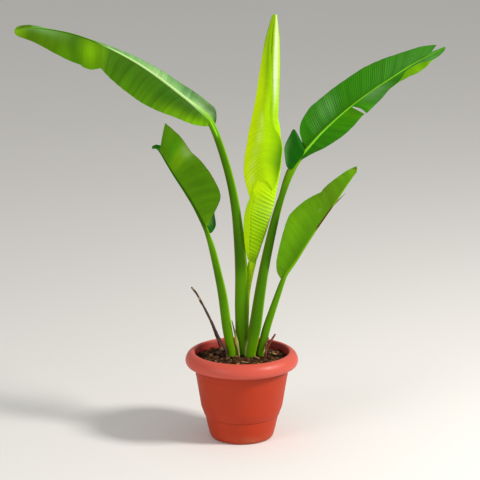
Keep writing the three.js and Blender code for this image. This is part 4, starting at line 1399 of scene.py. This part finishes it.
def build_leaves(context):
    leaf = context.scene.palm_leaf
    labels = [label for label, held in leaf.bl_rna.properties.items() if held.subtype == "COLOR"]
    palette = {label: tuple(getattr(leaf, label)) for label in labels}
    looks_of = {
        young: (slot, blade_finish(blade_name, leaf, young), stalk_finish(skin_name, leaf, sides))
        for young, slot, blade_name, skin_name, sides in (
            (False, "leaf_green", "leaf_blade", "stalk_skin", 1.0),
            (True, "leaf_young", "young_blade", "young_stalk_skin", 0.0),
        )
    }
    tree = stalk_tree()
    for index, (name, source) in enumerate(LEAVES.items()):
        slot, blade_look, skin = looks_of[name == "leaf_centre_young"]
        random = np.random.default_rng(leaf.seed + index)
        settled(build_blades(name, source, leaf, palette, random, blade_look), slot, name)
        line, looks = source["line"], source["looks"]
        points = line_mesh(name + "_line", line, STALK_FLATNESS, looks["tones"], palette)
        piece = grown(
            name + "_stalk", points, tree, Sides=STALK_SIDES, Channel_Depth=leaf.channel,
            Channel_Angle=looks["channel_side"], Channel_Width=CHANNEL_WIDTH, Finish=skin,
        )
        paint_strips(piece, line, looks.get("strips", ()), palette)
        settled(piece, slot, name)


def build_dry(context):
    dry = context.scene.palm_dry
    depth, width = STRAND_CHANNEL
    tree = stalk_tree()
    finishes = {
        "dry_stalk": ("dry_brown", dry_finish("old_stalk_skin", dry.dark, dry.tan, 0.64)),
        "dry_stub": ("dry_brown", dry_finish("old_stub_skin", dry.red, dry.tan, 0.6)),
        "dry_sheath": ("dry_tan", dry_finish("old_sheath_skin", dry.husk, dry.tan, 0.6, (0.215, 0.25))),
    }
    for index, (name, strands) in enumerate(DRY_STRANDS.items()):
        random = np.random.default_rng(dry.seed + index)
        slot, finish = finishes[name]
        made = []
        for step, rows in enumerate(strands):
            line = line_mesh(f"{name}_line_{step}", rows, DRY_FLATNESS[name], "plain",
                             {"plain": (1, 1, 1)}, STRAND_STEPS, dry.shrivel, random)
            made.append(grown(f"{name}_strand_{step}", line, tree, Sides=STRAND_SIDES,
                              Channel_Depth=depth, Channel_Width=width, Finish=finish))
        settled(joined(name + "_strands", made), slot, name)


# ---------- floor, lights and camera ----------


def lamp(name, place, target, size, power, colour=(1, 1, 1)):
    """A round lamp at a place, turned to a target."""
    light = bpy.data.lights.new(name, "AREA")
    light.shape = "DISK"
    light.size, light.energy, light.color = size, power, colour
    thing = linked(name, light)
    thing.location = place
    thing.rotation_euler = (Vector(target) - thing.location).to_track_quat("-Z", "Y").to_euler()


def build_stage(context):
    scene, stage = context.scene, context.scene.palm_stage
    corners = [(x * FLOOR_REACH, y * FLOOR_REACH, 0) for x, y in ((-1, -1), (1, -1), (1, 1), (-1, 1))]
    floor = linked("floor", plain_mesh("floor", corners, [(0, 1, 2, 3)], floor_finish(stage)))
    world = bpy.data.worlds.new("surroundings")
    world.use_nodes = True
    sky = world.node_tree.nodes["Background"]
    sky.inputs["Color"].default_value = (*stage.sky, 1)
    sky.inputs["Strength"].default_value = stage.sky_strength
    scene.world = world
    lamp("key_light", (2.75, -1.0, 2.45), (0, 0, 0.35), 0.8, stage.key_power, (1.0, 0.97, 0.92))
    lamp("fill_light", (-2.4, -2.6, 1.6), (0, 0, 0.5), 1.8, stage.fill_power)
    camera = bpy.data.cameras.new("camera")
    camera.lens, camera.sensor_width, camera.clip_end = 180, 36, 100
    seat = linked("camera", camera)
    seat.location = CAMERA_PLACE
    seat.rotation_euler = (math.radians(90 - CAMERA_DOWNWARD), 0, 0)
    bpy.context.scene.camera = seat
    scene.view_settings.view_transform = "Standard"
    scene.view_settings.look = "None"


# ---------- operators, panel and registration ----------


class PALM_OT_pot(bpy.types.Operator):
    """Turns the pot's shell with its rolled rim, rings and foot"""

    bl_idname = "palm.pot"
    bl_label = "Pot"

    def execute(self, context):
        build_pot(context)
        return {"FINISHED"}


class PALM_OT_soil(bpy.types.Operator):
    """Fills the pot with soil and scatters bark and crumbs on it"""

    bl_idname = "palm.soil"
    bl_label = "Soil and bark"

    def execute(self, context):
        build_soil(context)
        return {"FINISHED"}


class PALM_OT_leaves(bpy.types.Operator):
    """Makes the five leaves, each a stalk and its pleated blades"""

    bl_idname = "palm.leaves"
    bl_label = "Leaves"

    def execute(self, context):
        build_leaves(context)
        return {"FINISHED"}


class PALM_OT_dry(bpy.types.Operator):
    """Makes the dry remains of old leaves"""

    bl_idname = "palm.dry"
    bl_label = "Dry remains"

    def execute(self, context):
        build_dry(context)
        return {"FINISHED"}


class PALM_OT_stage(bpy.types.Operator):
    """Sets out the floor, the lights and the camera"""

    bl_idname = "palm.stage"
    bl_label = "Stage"

    def execute(self, context):
        build_stage(context)
        return {"FINISHED"}


class PALM_PT_panel(bpy.types.Panel):
    """Lists the steps that build the potted palm, with their settings"""

    bl_idname = "PALM_PT_panel"
    bl_label = "Potted palm"
    bl_space_type = "VIEW_3D"
    bl_region_type = "UI"
    bl_category = "Potted palm"

    def draw(self, context):
        for step, settings, _ in STEPS:
            box = self.layout.box()
            box.operator(step.bl_idname)
            held = getattr(context.scene, settings)
            for label in held.bl_rna.properties.keys():
                if label not in ("rna_type", "name"):
                    box.prop(held, label)


STEPS = (
    (PALM_OT_stage, "palm_stage", StageSettings),
    (PALM_OT_pot, "palm_pot", PotSettings),
    (PALM_OT_soil, "palm_soil", SoilSettings),
    (PALM_OT_leaves, "palm_leaf", LeafSettings),
    (PALM_OT_dry, "palm_dry", DrySettings),
)


def register():
    for step, label, settings in STEPS:
        bpy.utils.register_class(settings)
        bpy.utils.register_class(step)
        setattr(bpy.types.Scene, label, bpy.props.PointerProperty(type=settings))
    bpy.utils.register_class(PALM_PT_panel)


def unregister():
    bpy.utils.unregister_class(PALM_PT_panel)
    for step, label, settings in reversed(STEPS):
        delattr(bpy.types.Scene, label)
        bpy.utils.unregister_class(step)
        bpy.utils.unregister_class(settings)


def main():
    register()
    bpy.ops.palm.stage()
    bpy.ops.palm.pot()
    bpy.ops.palm.soil()
    bpy.ops.palm.leaves()
    bpy.ops.palm.dry()


if __name__ == "__main__":
    main()
